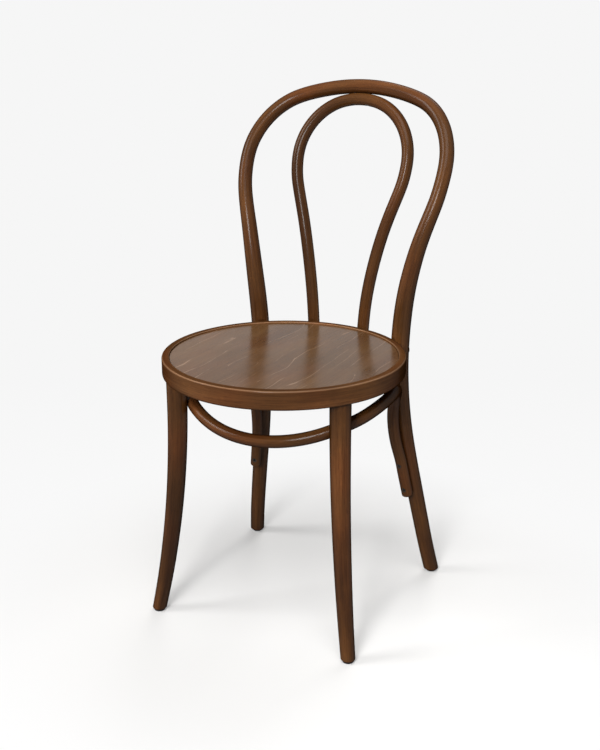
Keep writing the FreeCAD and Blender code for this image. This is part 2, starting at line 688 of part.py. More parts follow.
def build_pieces():
    """Every piece of the chair by name, about the seat's own axis."""
    front_feet = {name: front_leg_axis(GLIDE_THICKNESS, side) for name, side in SIDES.items()}
    rear_feet = {name: rear_leg_axis(GLIDE_THICKNESS, side) for name, side in SIDES.items()}
    bolts = [SeatBolt(side) for side in SIDES.values()]
    bolt_holes = [bolt.shank(HOLE_CLEARANCE) for bolt in bolts]
    top, ends, tenons = bow_top_screws(), bow_end_screws(), tenon_screws()
    brace_front, brace_rear, under_panel = brace_front_screws(), brace_rear_screws(), panel_screws()
    rear_nails = [glide_nail(foot, HOLE_CLEARANCE) for foot in rear_feet.values()]

    pieces = {
        "back_frame": back_frame(bolt_holes + [bolt.head_room() for bolt in bolts] + top.holes()
                                 + brace_rear.solids(HOLE_CLEARANCE) + rear_nails),
        "inner_bow": inner_bow(top.holes() + ends.holes()),
        "seat_rim": seat_rim(bolt_holes + ends.solids(HOLE_CLEARANCE) + tenons.holes() + under_panel.holes()
                             + [mortise(side) for side in SIDES.values()]),
        "seat_panel": seat_panel(under_panel.solids(HOLE_CLEARANCE)),
        "brace_hoop": brace_hoop(brace_front.holes() + brace_rear.holes()),
        "seat_bolts": Part.makeCompound([bolt.bolt() for bolt in bolts]),
        "seat_bolt_washers": Part.makeCompound([bolt.washer() for bolt in bolts]),
        "seat_bolt_nuts": Part.makeCompound([bolt.nut() for bolt in bolts]),
        "bow_top_screws": Part.makeCompound(top.solids()),
        "inner_bow_screws": Part.makeCompound(ends.solids()),
        "leg_tenon_screws": Part.makeCompound(tenons.solids()),
        "brace_front_screws": Part.makeCompound(brace_front.solids()),
        "brace_rear_screws": Part.makeCompound(brace_rear.solids()),
        "panel_screws": Part.makeCompound(under_panel.solids()),
    }
    for name, side in SIDES.items():
        holes = tenons.solids(HOLE_CLEARANCE) + brace_front.solids(HOLE_CLEARANCE)
        holes.append(glide_nail(front_feet[name], HOLE_CLEARANCE))
        pieces["front_leg_" + name] = front_leg(side, holes)
        pieces["glide_front_" + name] = glide(front_feet[name])
        pieces["glide_rear_" + name] = glide(rear_feet[name])
    nails = [glide_nail(foot) for feet in (front_feet, rear_feet) for foot in feet.values()]
    pieces["glide_nails"] = Part.makeCompound(nails)
    return pieces


def main():
    """Build every piece, move it over the origin and write it to its own file."""
    os.makedirs("parts", exist_ok=True)
    back_edge = frame_point(0, BOW_TOP_HEIGHT).y + BOW_DIAMETER / 2
    shift = vector(0, (SEAT_RADIUS - back_edge) / 2, 0)
    for name, shape in build_pieces().items():
        shape.translate(shift)
        shape.exportStep(os.path.join("parts", name + ".step"))
        print(name, len(shape.Solids), "solids", round(shape.Volume / 1000, 1), "cm3")
    print("seat axis at y", round(shift.y, 2))


if __name__ == "__main__":
    main()
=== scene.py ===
"""Bentwood bistro chair: smooth bent rods, stained beech and small steel fastenings in a pale studio.

Sizes are in millimetres about the seat's own axis, +Y to the back; a mesh is moved over the frame's
origin and turned to metres when it is made. Every shape is a grid of points worked out as whole arrays.
"""
import json
import logging
import math
from dataclasses import dataclass, field, replace
from enum import Enum
from typing import Callable, Dict, List, Optional, Sequence, Tuple, Union

import bmesh
import bpy
import numpy as np
from mathutils import Matrix, Vector

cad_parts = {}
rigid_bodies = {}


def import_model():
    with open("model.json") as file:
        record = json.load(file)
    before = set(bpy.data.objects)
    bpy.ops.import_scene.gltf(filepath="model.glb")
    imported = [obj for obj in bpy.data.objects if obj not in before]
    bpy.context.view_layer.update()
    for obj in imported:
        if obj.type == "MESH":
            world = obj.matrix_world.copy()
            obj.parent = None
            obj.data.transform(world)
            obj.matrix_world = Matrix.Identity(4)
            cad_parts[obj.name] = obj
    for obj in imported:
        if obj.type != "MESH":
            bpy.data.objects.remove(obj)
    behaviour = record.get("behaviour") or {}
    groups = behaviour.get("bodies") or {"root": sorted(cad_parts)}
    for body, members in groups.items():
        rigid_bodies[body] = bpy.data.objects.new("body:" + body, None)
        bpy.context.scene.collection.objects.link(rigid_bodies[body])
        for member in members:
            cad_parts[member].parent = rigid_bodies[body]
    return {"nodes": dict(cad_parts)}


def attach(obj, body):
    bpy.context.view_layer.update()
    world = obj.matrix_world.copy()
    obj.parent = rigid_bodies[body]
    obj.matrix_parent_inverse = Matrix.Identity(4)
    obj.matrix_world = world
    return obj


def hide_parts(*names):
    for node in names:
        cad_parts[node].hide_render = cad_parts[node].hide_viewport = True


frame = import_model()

LOG = logging.getLogger("bistro_chair")
Array = np.ndarray
Height = Union[float, Array]
Pair = Tuple[float, float]
Triple = Tuple[float, float, float]
Hole = Tuple[Array, Array, Array]
Node = bpy.types.Node
Socket = bpy.types.NodeSocket
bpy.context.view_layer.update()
UP = np.array([0.0, 0.0, 1.0])
BACKWARDS = np.array([0.0, 1.0, 0.0])
LEVEL = np.array([1.0, 1.0, 0.0])
MIRROR = np.array([-1.0, 1.0, 1.0])
SHARP_ANGLE = math.radians(35)
CUTTER_SIDES = 40
LINE_SAMPLES = 4001
BORE_CLEARANCE = 0.15
GLIDE_THICKNESS = 4.0


class Side(Enum):
    """Left or right of the chair, seen from the front."""

    LEFT = -1
    RIGHT = 1


@dataclass(frozen=True)
class SeatSizes:
    """Sizes of the seat that its neighbours share."""

    radius: float = 203.0
    height: float = 465.0
    rim_height: float = 32.0
    rim_width: float = 40.0
    lip_width: float = 12.5
    panel_thickness: float = 8.0
    panel_recess: float = 2.5
    fit: float = 0.2
    rod_fit: float = 0.3
    axis_y: float = -56.13

    @property
    def rim_bottom(self) -> float:
        """Height of the rim's underside."""
        return self.height - self.rim_height

    @property
    def inner_radius(self) -> float:
        """Radius of the rim's inner wall."""
        return self.radius - self.rim_width

    @property
    def ledge_radius(self) -> float:
        """Radius of the step that holds the panel."""
        return self.radius - self.lip_width

    @property
    def ledge_height(self) -> float:
        """Height of the ledge under the panel."""
        return self.height - self.panel_recess - self.panel_thickness

    @property
    def fastener_height(self) -> float:
        """Height of the bolts and screws in the rim."""
        return (self.rim_bottom + self.ledge_height) / 2


SEAT = SeatSizes()


def arc(centre: Pair, radius: float, start: float, end: float, count: int) -> Array:
    """Points along an arc: centre plus radius times (cosine, sine) of evenly spaced angles."""
    angle = np.linspace(start, end, count)
    return np.stack([centre[0] + radius * np.cos(angle), centre[1] + radius * np.sin(angle)], axis=1)


def bow_outline(top: float, half_width: float, widest: float, crown_radius: float, hip_radius: float,
                waist_half_width: float, waist: float) -> Array:
    """Right half of a bow from the front, as four arcs that are tangent to each other.

    The shoulder's radius follows from the crown's arc and the greatest half width, and the waist's
    radius from the hip's arc and the waist.

    Args:
        top: Height of the crown's middle.
        half_width: Greatest half width.
        widest: Height of the greatest half width.
        crown_radius: Radius of the crown.
        hip_radius: Radius below the widest place.
        waist_half_width: Half width at the waist.
        waist: Height of the waist, where the bow stands upright.

    Returns:
        Rows of half width and height, from the crown down to the waist.
    """
    drop = widest - top + crown_radius
    shoulder = (crown_radius ** 2 - half_width ** 2 - drop ** 2) / (2 * (crown_radius - half_width))
    crown_end = math.atan2(drop, half_width - shoulder)
    hip_turn = 2 * math.atan2(half_width - waist_half_width, widest - waist)
    waist_radius = (widest - waist) / math.sin(hip_turn) - hip_radius
    return np.concatenate([
        arc((0.0, top - crown_radius), crown_radius, math.pi / 2, crown_end, 4),
        arc((half_width - shoulder, widest), shoulder, crown_end, 0.0, 9)[1:],
        arc((half_width - hip_radius, widest), hip_radius, 0.0, -hip_turn, 4)[1:],
        arc((waist_half_width + waist_radius, waist), waist_radius, math.pi - hip_turn, math.pi, 7)[1:],
    ])


def width_at(outline: Array, height: float) -> float:
    """Half width of an outline at a height, on the straight line between its two nearest points."""
    return float(np.interp(height, outline[::-1, 1], outline[::-1, 0]))


def bearing(degrees: float, side: int = 1) -> Array:
    """Level unit vector at an angle from +X towards +Y, mirrored on the left side."""
    angle = math.radians(degrees)
    return np.array([side * math.cos(angle), math.sin(angle), 0.0])


def unit(vectors: Array) -> Array:
    """Vectors divided by their own lengths."""
    return vectors / np.linalg.norm(vectors, axis=-1, keepdims=True)


class Curve:
    """Smooth line through points: a natural cubic spline over the running chord length.

    Its second derivatives m, zero at both ends, solve the tridiagonal system
    h[i-1] m[i-1] + 2 (h[i-1] + h[i]) m[i] + h[i] m[i+1] = 6 (slope[i] - slope[i-1]).
    """

    def __init__(self, points: Array) -> None:
        """Works out the spline through rows of x, y, z.

        Args:
            points: Rows of x, y, z that the line passes through.
        """
        self.points = np.asarray(points, float)
        steps = np.linalg.norm(np.diff(self.points, axis=0), axis=1)
        self.knots = np.concatenate([[0.0], np.cumsum(steps)])
        system = np.eye(len(self.points))
        inner = np.arange(1, len(self.points) - 1)
        system[inner, inner - 1] = steps[:-1]
        system[inner, inner] = 2 * (steps[:-1] + steps[1:])
        system[inner, inner + 1] = steps[1:]
        slopes = np.diff(self.points, axis=0) / steps[:, None]
        right = np.zeros(self.points.shape)
        right[1:-1] = 6 * np.diff(slopes, axis=0)
        self.bends = np.linalg.solve(system, right)

    def at(self, places: Array) -> Array:
        """Points of the line at chord-length places.

        Args:
            places: Running chord lengths.

        Returns:
            Rows of x, y, z.
        """
        index = np.clip(np.searchsorted(self.knots, places, side="right") - 1, 0, len(self.knots) - 2)
        step = (self.knots[index + 1] - self.knots[index])[:, None]
        after = (places - self.knots[index])[:, None]
        before = step - after
        low, high = self.bends[index], self.bends[index + 1]
        return ((low * before ** 3 + high * after ** 3) / (6 * step)
                + (self.points[index] / step - low * step / 6) * before
                + (self.points[index + 1] / step - high * step / 6) * after)

    def even(self, spacing: float) -> Tuple[Array, Array]:
        """Points of the line at an even spacing, and each one's distance along it.

        Args:
            spacing: Distance wanted between two points.

        Returns:
            The points, and each one's distance along the line.
        """
        fine = self.at(np.linspace(0.0, self.knots[-1], LINE_SAMPLES))
        length = np.concatenate([[0.0], np.cumsum(np.linalg.norm(np.diff(fine, axis=0), axis=1))])
        wanted = np.linspace(0.0, length[-1], max(int(length[-1] / spacing), 2) + 1)
        points = np.stack([np.interp(wanted, length, fine[:, axis]) for axis in range(3)], axis=1)
        return points, wanted


def mirrored(right: Array) -> Curve:
    """Smooth line through a right half, given from its middle outwards, and its mirror image."""
    return Curve(np.concatenate([right[:0:-1] * MIRROR, right]))


@dataclass
class Grid:
    """Surface as rings of points, with the place of each point in the wood it is cut from.

    The grain runs one step further than the points where the grid closes on itself.
    """

    points: Array
    grain: Array
    closed_rows: bool = False
    cap_start: bool = False
    cap_end: bool = False

    def parts(self) -> Tuple[Array, Array, Array, Array]:
        """Four-cornered faces between neighbouring points, and a fan round one point in each capped end.

        Returns:
            The vertices, the faces' corners, the number of corners of each face, and each corner's grain.
        """
        rows, columns = self.points.shape[:2]
        span = np.arange(rows if self.closed_rows else rows - 1), np.arange(columns)
        down, across = [part.ravel()[:, None] for part in np.meshgrid(*span, indexing="ij")]
        down, across = down + np.array([0, 0, 1, 1]), across + np.array([0, 1, 1, 0])
        vertices = [self.points.reshape(-1, 3)]
        corners = [(down % rows * columns + across % columns).ravel()]
        totals = [np.full(len(down), 4)]
        grains = [self.grain[down, across].reshape(-1, 3)]
        for wanted, row, turn in ((self.cap_start, 0, -1), (self.cap_end, rows - 1, 1)):
            if wanted:
                ring, place = np.arange(columns) + row * columns, self.grain[row, :columns]
                middle = np.full(columns, rows * columns + len(vertices) - 1)
                centre = np.broadcast_to(place.mean(axis=0), place.shape)
                fan = np.stack([place, np.roll(place, -1, axis=0), centre][::turn], axis=1)
                vertices.append(self.points[row].mean(axis=0)[None])
                corners.append(np.stack([ring, np.roll(ring, -1), middle][::turn], axis=1).ravel())
                totals.append(np.full(columns, 3))
                grains.append(fan.reshape(-1, 3))
        return tuple(np.concatenate(part) for part in (vertices, corners, totals, grains))


def mesh_object(name: str, grids: Sequence[Grid], wear_and_highlight: Optional[Array] = None) -> bpy.types.Object:
    """Makes one object from grids, with the wood place stored on each face corner.

    Args:
        name: Name of the object.
        grids: Its surfaces, in millimetres about the seat's axis.
        wear_and_highlight: How rubbed each vertex is and how much painted highlight it carries, in the order
            of the grids' points.

    Returns:
        The object, at the origin, in metres.
    """
    vertices, corners, totals, grains = zip(*(grid.parts() for grid in grids))
    starts = np.cumsum([0] + [len(part) for part in vertices[:-1]])
    points = np.concatenate(vertices) + np.array([0.0, SEAT.axis_y, 0.0])
    loops = np.concatenate([part + start for part, start in zip(corners, starts)]).astype(np.int32)
    counts = np.concatenate(totals).astype(np.int32)
    mesh = bpy.data.meshes.new(name)
    mesh.vertices.add(len(points))
    mesh.vertices.foreach_set("co", (points / 1000).astype(np.float32).ravel())
    mesh.loops.add(len(loops))
    mesh.loops.foreach_set("vertex_index", loops)
    mesh.polygons.add(len(counts))
    mesh.polygons.foreach_set("loop_start", np.concatenate([[0], np.cumsum(counts)[:-1]]).astype(np.int32))
    mesh.polygons.foreach_set("loop_total", counts)
    mesh.update(calc_edges=True)
    layer = mesh.attributes.new("grain", "FLOAT_VECTOR", "CORNER")
    layer.data.foreach_set("vector", (np.concatenate(grains) / 1000).astype(np.float32).ravel())
    if wear_and_highlight is not None:
        mesh.attributes.new("wear_and_highlight", "FLOAT", "POINT").data.foreach_set("value", wear_and_highlight.astype(np.float32))
    mesh.validate()
    made = bpy.data.objects.new(name, mesh)
    bpy.context.scene.collection.objects.link(made)
    turn_outwards(mesh)
    mesh.polygons.foreach_set("use_smooth", np.ones(len(mesh.polygons), dtype=bool))
    mesh.set_sharp_from_angle(angle=SHARP_ANGLE)
    return made


def turn_outwards(mesh: bpy.types.Mesh) -> None:
    """Points all faces of closed surfaces outwards.

    Args:
        mesh: The mesh, changed in place.
    """
    work = bmesh.new()
    work.from_mesh(mesh)
    bmesh.ops.recalc_face_normals(work, faces=work.faces)
    work.to_mesh(mesh)
    work.free()


def around(count: int) -> Array:
    """Angles once round, with one more that lies on the first."""
    return np.linspace(0.0, 2 * math.pi, count + 1)


def rings(centres: Array, radius: Array, first: Array, second: Array) -> Array:
    """Rings of points, each with its last on its first: centre + radius (cos a first + sin a second)."""
    angle = around(radius.shape[1] - 1)[None, :, None]
    return centres + radius[..., None] * (np.cos(angle) * first + np.sin(angle) * second)


def rod_grid(points: Array, along: Array, radius: Array, sides: int, grain_shift: Sequence[float],
             guide: Array = BACKWARDS, round_ends: float = 0.0, upright: int = 0) -> Grid:
    """Round rod: rings square to a line, each starting at the tangent crossed with a guide vector.

    Rounded ends are more rings whose radius falls as a quarter circle.

    Args:
        points: Centre line.
        along: Distance of each point along the line.
        radius: Radius at each point.
        sides: Points round the rod.
        grain_shift: Place of the rod's middle in the wood, so that no two rods are alike.
        guide: Vector that no tangent runs along.
        round_ends: Radius of the rounding at both ends.
        upright: Number of first rings that are kept level.

    Returns:
        The grid, closed round the rod and capped at both ends.
    """
    tangent = unit(np.gradient(points, axis=0))
    tangent[:upright] = -UP
    if round_ends > 0:
        turn = np.linspace(0.0, math.pi / 2, 7)[:-1]
        reach, margin = round_ends * (1 - np.cos(turn)), round_ends * 1.02
        inner = (along > margin) & (along < along[-1] - margin)
        start, end = (radius[at] - round_ends + round_ends * np.sin(turn) for at in (0, -1))
        points = np.concatenate([points[0] + tangent[0] * reach[:, None], points[inner],
                                 points[-1] - tangent[-1] * reach[::-1, None]])
        radius = np.concatenate([start, radius[inner], end[::-1]])
        along = np.concatenate([along[0] + reach, along[inner], along[-1] - reach[::-1]])
        tangent = np.concatenate([np.repeat(tangent[:1], len(turn), axis=0), tangent[inner],
                                  np.repeat(tangent[-1:], len(turn), axis=0)])
    first = unit(np.cross(tangent, guide))
    wide, run = (np.repeat(part[:, None], sides + 1, axis=1) for part in (radius, along))
    surface = rings(points[:, None], wide, first[:, None], np.cross(tangent, first)[:, None])
    angle = around(sides)
    grain = np.stack([wide * np.cos(angle), wide * np.sin(angle), run], axis=2) + np.array(grain_shift)
    return Grid(surface[:, :-1], grain, cap_start=True, cap_end=True)


def turned(radius: Array, height: Array, start: Array, axis: Array, helper: Array) -> Array:
    """Rings about an axis: their centre is start + height axis, and first is helper crossed with axis."""
    first = unit(np.cross(helper, axis))
    return rings(start + height[..., None] * axis, radius, first, np.cross(axis, first))


def spread(rows: Array, sides: int) -> Tuple[Array, Array]:
    """Radius and height of a profile's rows, repeated for each angle once round."""
    return np.repeat(rows[:, :1], sides + 1, axis=1), np.repeat(rows[:, 1:], sides + 1, axis=1)


def lathe_grid(profile: Array, sides: int, centre: Array, axis: Array = UP, ring: bool = False) -> Grid:
    """Profile turned about an axis, with the grain running round it.

    Args:
        profile: Rows of radius and height. A first or last radius of zero is closed by a fan.
        sides: Points round the axis.
        centre: Point that the heights count from.
        axis: Direction of the heights.
        ring: Whether the last row joins the first.

    Returns:
        The grid, with one row for each profile point.
    """
    axis = unit(np.asarray(axis, float))
    helper = np.array([-1.0, 0.0, 0.0]) if abs(axis[0]) < 0.9 else BACKWARDS
    cap_start, cap_end = profile[0, 0] < 1e-6, profile[-1, 0] < 1e-6
    rows = profile[int(cap_start):len(profile) - int(cap_end)]
    radius, height = spread(rows, sides)
    surface = turned(radius, height, centre, axis, helper)
    run = np.repeat(around(sides)[None] * max(float(rows[:, 0].max()), 1.0), len(rows), axis=0)
    grain = np.stack([radius, height, run], axis=2)
    if ring:
        grain = np.concatenate([grain, grain[:1]])
    return Grid(surface[:, :-1], grain, ring, cap_start, cap_end)


def swell(grid: Grid, start: Array, axis: Array, factor: Callable[[Array, Array, Array], Array]) -> Grid:
    """Moves a turned grid's points straight out from its axis by a factor.

    Args:
        grid: The grid, whose points are replaced.
        start: Point that the heights count from.
        axis: Unit vector of the axis.
        factor: The factor by distance from the axis, height and angle.

    Returns:
        The same grid.
    """
    relative = grid.points - start
    height = (relative @ axis)[..., None]
    radial = relative - height * axis
    distance = np.linalg.norm(radial, axis=-1, keepdims=True)
    angle = around(grid.points.shape[1])[:-1][None, :, None]
    grid.points = start + height * axis + radial * factor(distance, height, angle)
    return grid


def crest(height: Array, angle: Array, pitch: float, sharpness: float) -> Array:
    """Share of a thread's depth: a saw wave that rises one pitch in each turn."""
    phase = (height / pitch - angle / (2 * math.pi)) % 1.0
    return np.clip(1 - np.abs(phase - 0.5) * sharpness, 0, 1)


def rounded_profile(corners: Sequence[Triple], steps: int = 6, closed: bool = True) -> Array:
    """Outline with rounded corners: each corner is replaced by an arc that touches both its sides.

    Args:
        corners: Rows of radius, height and rounding.
        steps: Points on each arc.
        closed: Whether the last corner joins the first.

    Returns:
        Rows of radius and height.
    """
    places = np.array([corner[:2] for corner in corners], float)
    made: List[Array] = []
    count = len(corners)
    for index, here in enumerate(places):
        rounding = corners[index][2]
        if rounding <= 0 or (not closed and index in (0, count - 1)):
            made.append(here[None])
            continue
        to_last = unit(places[index - 1] - here)
        to_next = unit(places[(index + 1) % count] - here)
        half = math.acos(float(np.clip(np.dot(to_last, to_next), -1, 1))) / 2
        centre = here + unit(to_last + to_next) * rounding / math.sin(half)
        start = here + to_last * rounding / math.tan(half) - centre
        end = here + to_next * rounding / math.tan(half) - centre
        first, last = math.atan2(start[1], start[0]), math.atan2(end[1], end[0])
        turn = (last - first + math.pi) % (2 * math.pi) - math.pi
        made.append(arc((centre[0], centre[1]), rounding, first, first + turn, steps))
    return np.concatenate(made)


def cut_round_holes(piece: bpy.types.Object, holes: Sequence[Hole]) -> None:
    """Drills stepped round holes, each a profile turned about its own line, all by one cutter mesh.

    Args:
        piece: The piece, whose mesh is replaced.
        holes: For each hole its mouth, its direction into the piece, and rows of radius and depth.
    """
    grids = [lathe_grid(profile, CUTTER_SIDES, mouth, direction) for mouth, direction, profile in holes]
    cutter = mesh_object(piece.name + "_cutter", grids)
    change = piece.modifiers.new("holes", "BOOLEAN")
    change.operation = "DIFFERENCE"
    change.solver = "EXACT"
    change.object = cutter
    graph = bpy.context.evaluated_depsgraph_get()
    graph.update()
    mesh = bpy.data.meshes.new_from_object(piece.evaluated_get(graph), preserve_all_data_layers=True,
                                           depsgraph=graph)
    old = piece.data
    piece.modifiers.clear()
    piece.data = mesh
    mesh.name = old.name
    bpy.data.meshes.remove(old)
    bpy.data.objects.remove(cutter, do_unlink=True)
    mesh.set_sharp_from_angle(angle=SHARP_ANGLE)


def make_piece(node: str, kind: str, grids: Sequence[Grid], material: bpy.types.Material, slot: str,
               holes: Sequence[Hole] = (), wear_and_highlight: Optional[Array] = None) -> bpy.types.Object:
    """Makes a piece, gives it its finish, lets it stand for its node and ties it to the chair.

    Args:
        node: The CAD node that it replaces.
        kind: Ending of its name.
        grids: Its surfaces.
        material: Its finish.
        slot: Name of its material slot; not used.
        holes: Holes to be drilled in it.
        wear_and_highlight: How rubbed each vertex is and how much painted highlight it carries.

    Returns:
        The piece.
    """
    piece = mesh_object(node + "_" + kind, grids, wear_and_highlight)
    if holes:
        cut_round_holes(piece, holes)
    piece.data.materials.clear()
    piece.data.materials.append(material)
    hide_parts(node)
    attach(piece, "root")
    return piece


class Nodes:
    """Adds and links the nodes of one tree."""

    def __init__(self, tree: bpy.types.NodeTree) -> None:
        """Empties the tree."""
        self.tree = tree
        tree.nodes.clear()

    def feed(self, node: Node, inputs: Dict[object, object]) -> None:
        """Links inputs, by name or number, to outputs, or sets them to plain values."""
        for key, value in inputs.items():
            into = node.inputs[key]
            if isinstance(value, Socket):
                self.tree.links.new(value, into)
            else:
                into.default_value = (*value, 1.0) if into.type == "RGBA" else value

    def node(self, kind: str, inputs: Optional[Dict[object, object]] = None, **settings: object) -> Node:
        """Adds a node, sets its properties and feeds its inputs.

        Args:
            kind: Type of the node.
            inputs: What feeds its inputs.
            **settings: Its properties.

        Returns:
            The node.
        """
        node = self.tree.nodes.new(kind)
        for key, value in settings.items():
            setattr(node, key, value)
        self.feed(node, inputs or {})
        return node

    def objects(self) -> Socket:
        """Object coordinates."""
        return self.node("ShaderNodeTexCoord").outputs["Object"]

    def attribute(self, name: str, out: str) -> Socket:
        """One output of an attribute of the mesh."""
        return self.node("ShaderNodeAttribute", attribute_name=name).outputs[out]

    def axis(self, vector: Socket, name: str) -> Socket:
        """One part of a vector: X, Y or Z."""
        return self.node("ShaderNodeSeparateXYZ", {"Vector": vector}).outputs[name]

    def scaled(self, vector: Socket, scale: Triple) -> Socket:
        """Coordinates stretched along each axis."""
        return self.node("ShaderNodeMapping", {"Vector": vector, "Scale": scale}).outputs["Vector"]

    def noise(self, vector: Socket, detail: float, roughness: float = 0.5, distortion: float = 0.0) -> Socket:
        """Noise on given coordinates."""
        inputs = {"Vector": vector, "Scale": 1.0, "Detail": detail, "Roughness": roughness,
                  "Distortion": distortion}
        return self.node("ShaderNodeTexNoise", inputs).outputs["Fac"]

    def ramp(self, value: Socket, stops: Sequence[Tuple[float, object]]) -> Socket:
        """Colour ramp from a number, through colours or greys.

        Args:
            value: The number.
            stops: Places on the ramp, each with a colour or a grey.

        Returns:
            The colour.
        """
        node = self.node("ShaderNodeValToRGB", {"Fac": value})
        elements = node.color_ramp.elements
        while len(elements) < len(stops):
            elements.new(0.5)
        for element, (place, colour) in zip(elements, stops):
            element.position = place
            element.color = (*np.broadcast_to(colour, 3), 1.0)
        return node.outputs["Color"]

    def span(self, value: Socket, low: float, high: float, to_low: float = 0.0, to_high: float = 1.0,
             kind: str = "LINEAR") -> Socket:
        """Number moved from one span to another and held inside it."""
        inputs = {"Value": value, "From Min": low, "From Max": high, "To Min": to_low, "To Max": to_high}
        return self.node("ShaderNodeMapRange", inputs, interpolation_type=kind).outputs["Result"]

    def blend(self, kind: str, share: object, first: Socket, second: object) -> Socket:
        """Mixes two colours by a share."""
        inputs = {0: share, 6: first, 7: second}
        return self.node("ShaderNodeMix", inputs, data_type="RGBA", blend_type=kind).outputs[2]

    def reckon(self, kind: str, first: Socket, second: object) -> Socket:
        """Arithmetic on one number and another."""
        return self.node("ShaderNodeMath", {0: first, 1: second}, operation=kind).outputs[0]

    def measure(self, kind: str, first: Socket, second: Triple) -> Socket:
        """Number worked out from a vector and a fixed one."""
        return self.node("ShaderNodeVectorMath", {0: first, 1: second}, operation=kind).outputs["Value"]

    def mixed(self, share: Socket, first: Socket, second: Socket) -> Socket:
        """Mixes two shaders by a share."""
        return self.node("ShaderNodeMixShader", {0: share, 1: first, 2: second}).outputs[0]

    def seen(self) -> Socket:
        """One for what the camera sees, directly, mirrored or through something clear, and zero otherwise.

        Returns:
            The number.
        """
        path = self.node("ShaderNodeLightPath").outputs
        either = self.reckon("MAXIMUM", path["Is Camera Ray"], path["Is Glossy Ray"])
        return self.reckon("MAXIMUM", either, path["Is Transmission Ray"])


class Shader(Nodes):
    """The nodes of one material round a Principled shader."""

    def __init__(self, name: str) -> None:
        """Makes an empty material with a Principled shader.

        Args:
            name: Name of the material.
        """
        self.material = bpy.data.materials.new(name)
        self.material.use_nodes = True
        super().__init__(self.material.node_tree)
        self.surface = self.node("ShaderNodeBsdfPrincipled")
        self.output = self.node("ShaderNodeOutputMaterial", {"Surface": self.surface.outputs["BSDF"]})

    def bump(self, height: Socket, strength: float, distance: float) -> None:
        """Bumps the surface by a height."""
        inputs = {"Height": height, "Strength": strength, "Distance": distance}
        self.feed(self.surface, {"Normal": self.node("ShaderNodeBump", inputs).outputs["Normal"]})


class Cut(Enum):
    """How a piece of wood was made: bent along its grain, or laid flat with the grain front to back."""

    BENT = "grain"
    FLAT = "object"


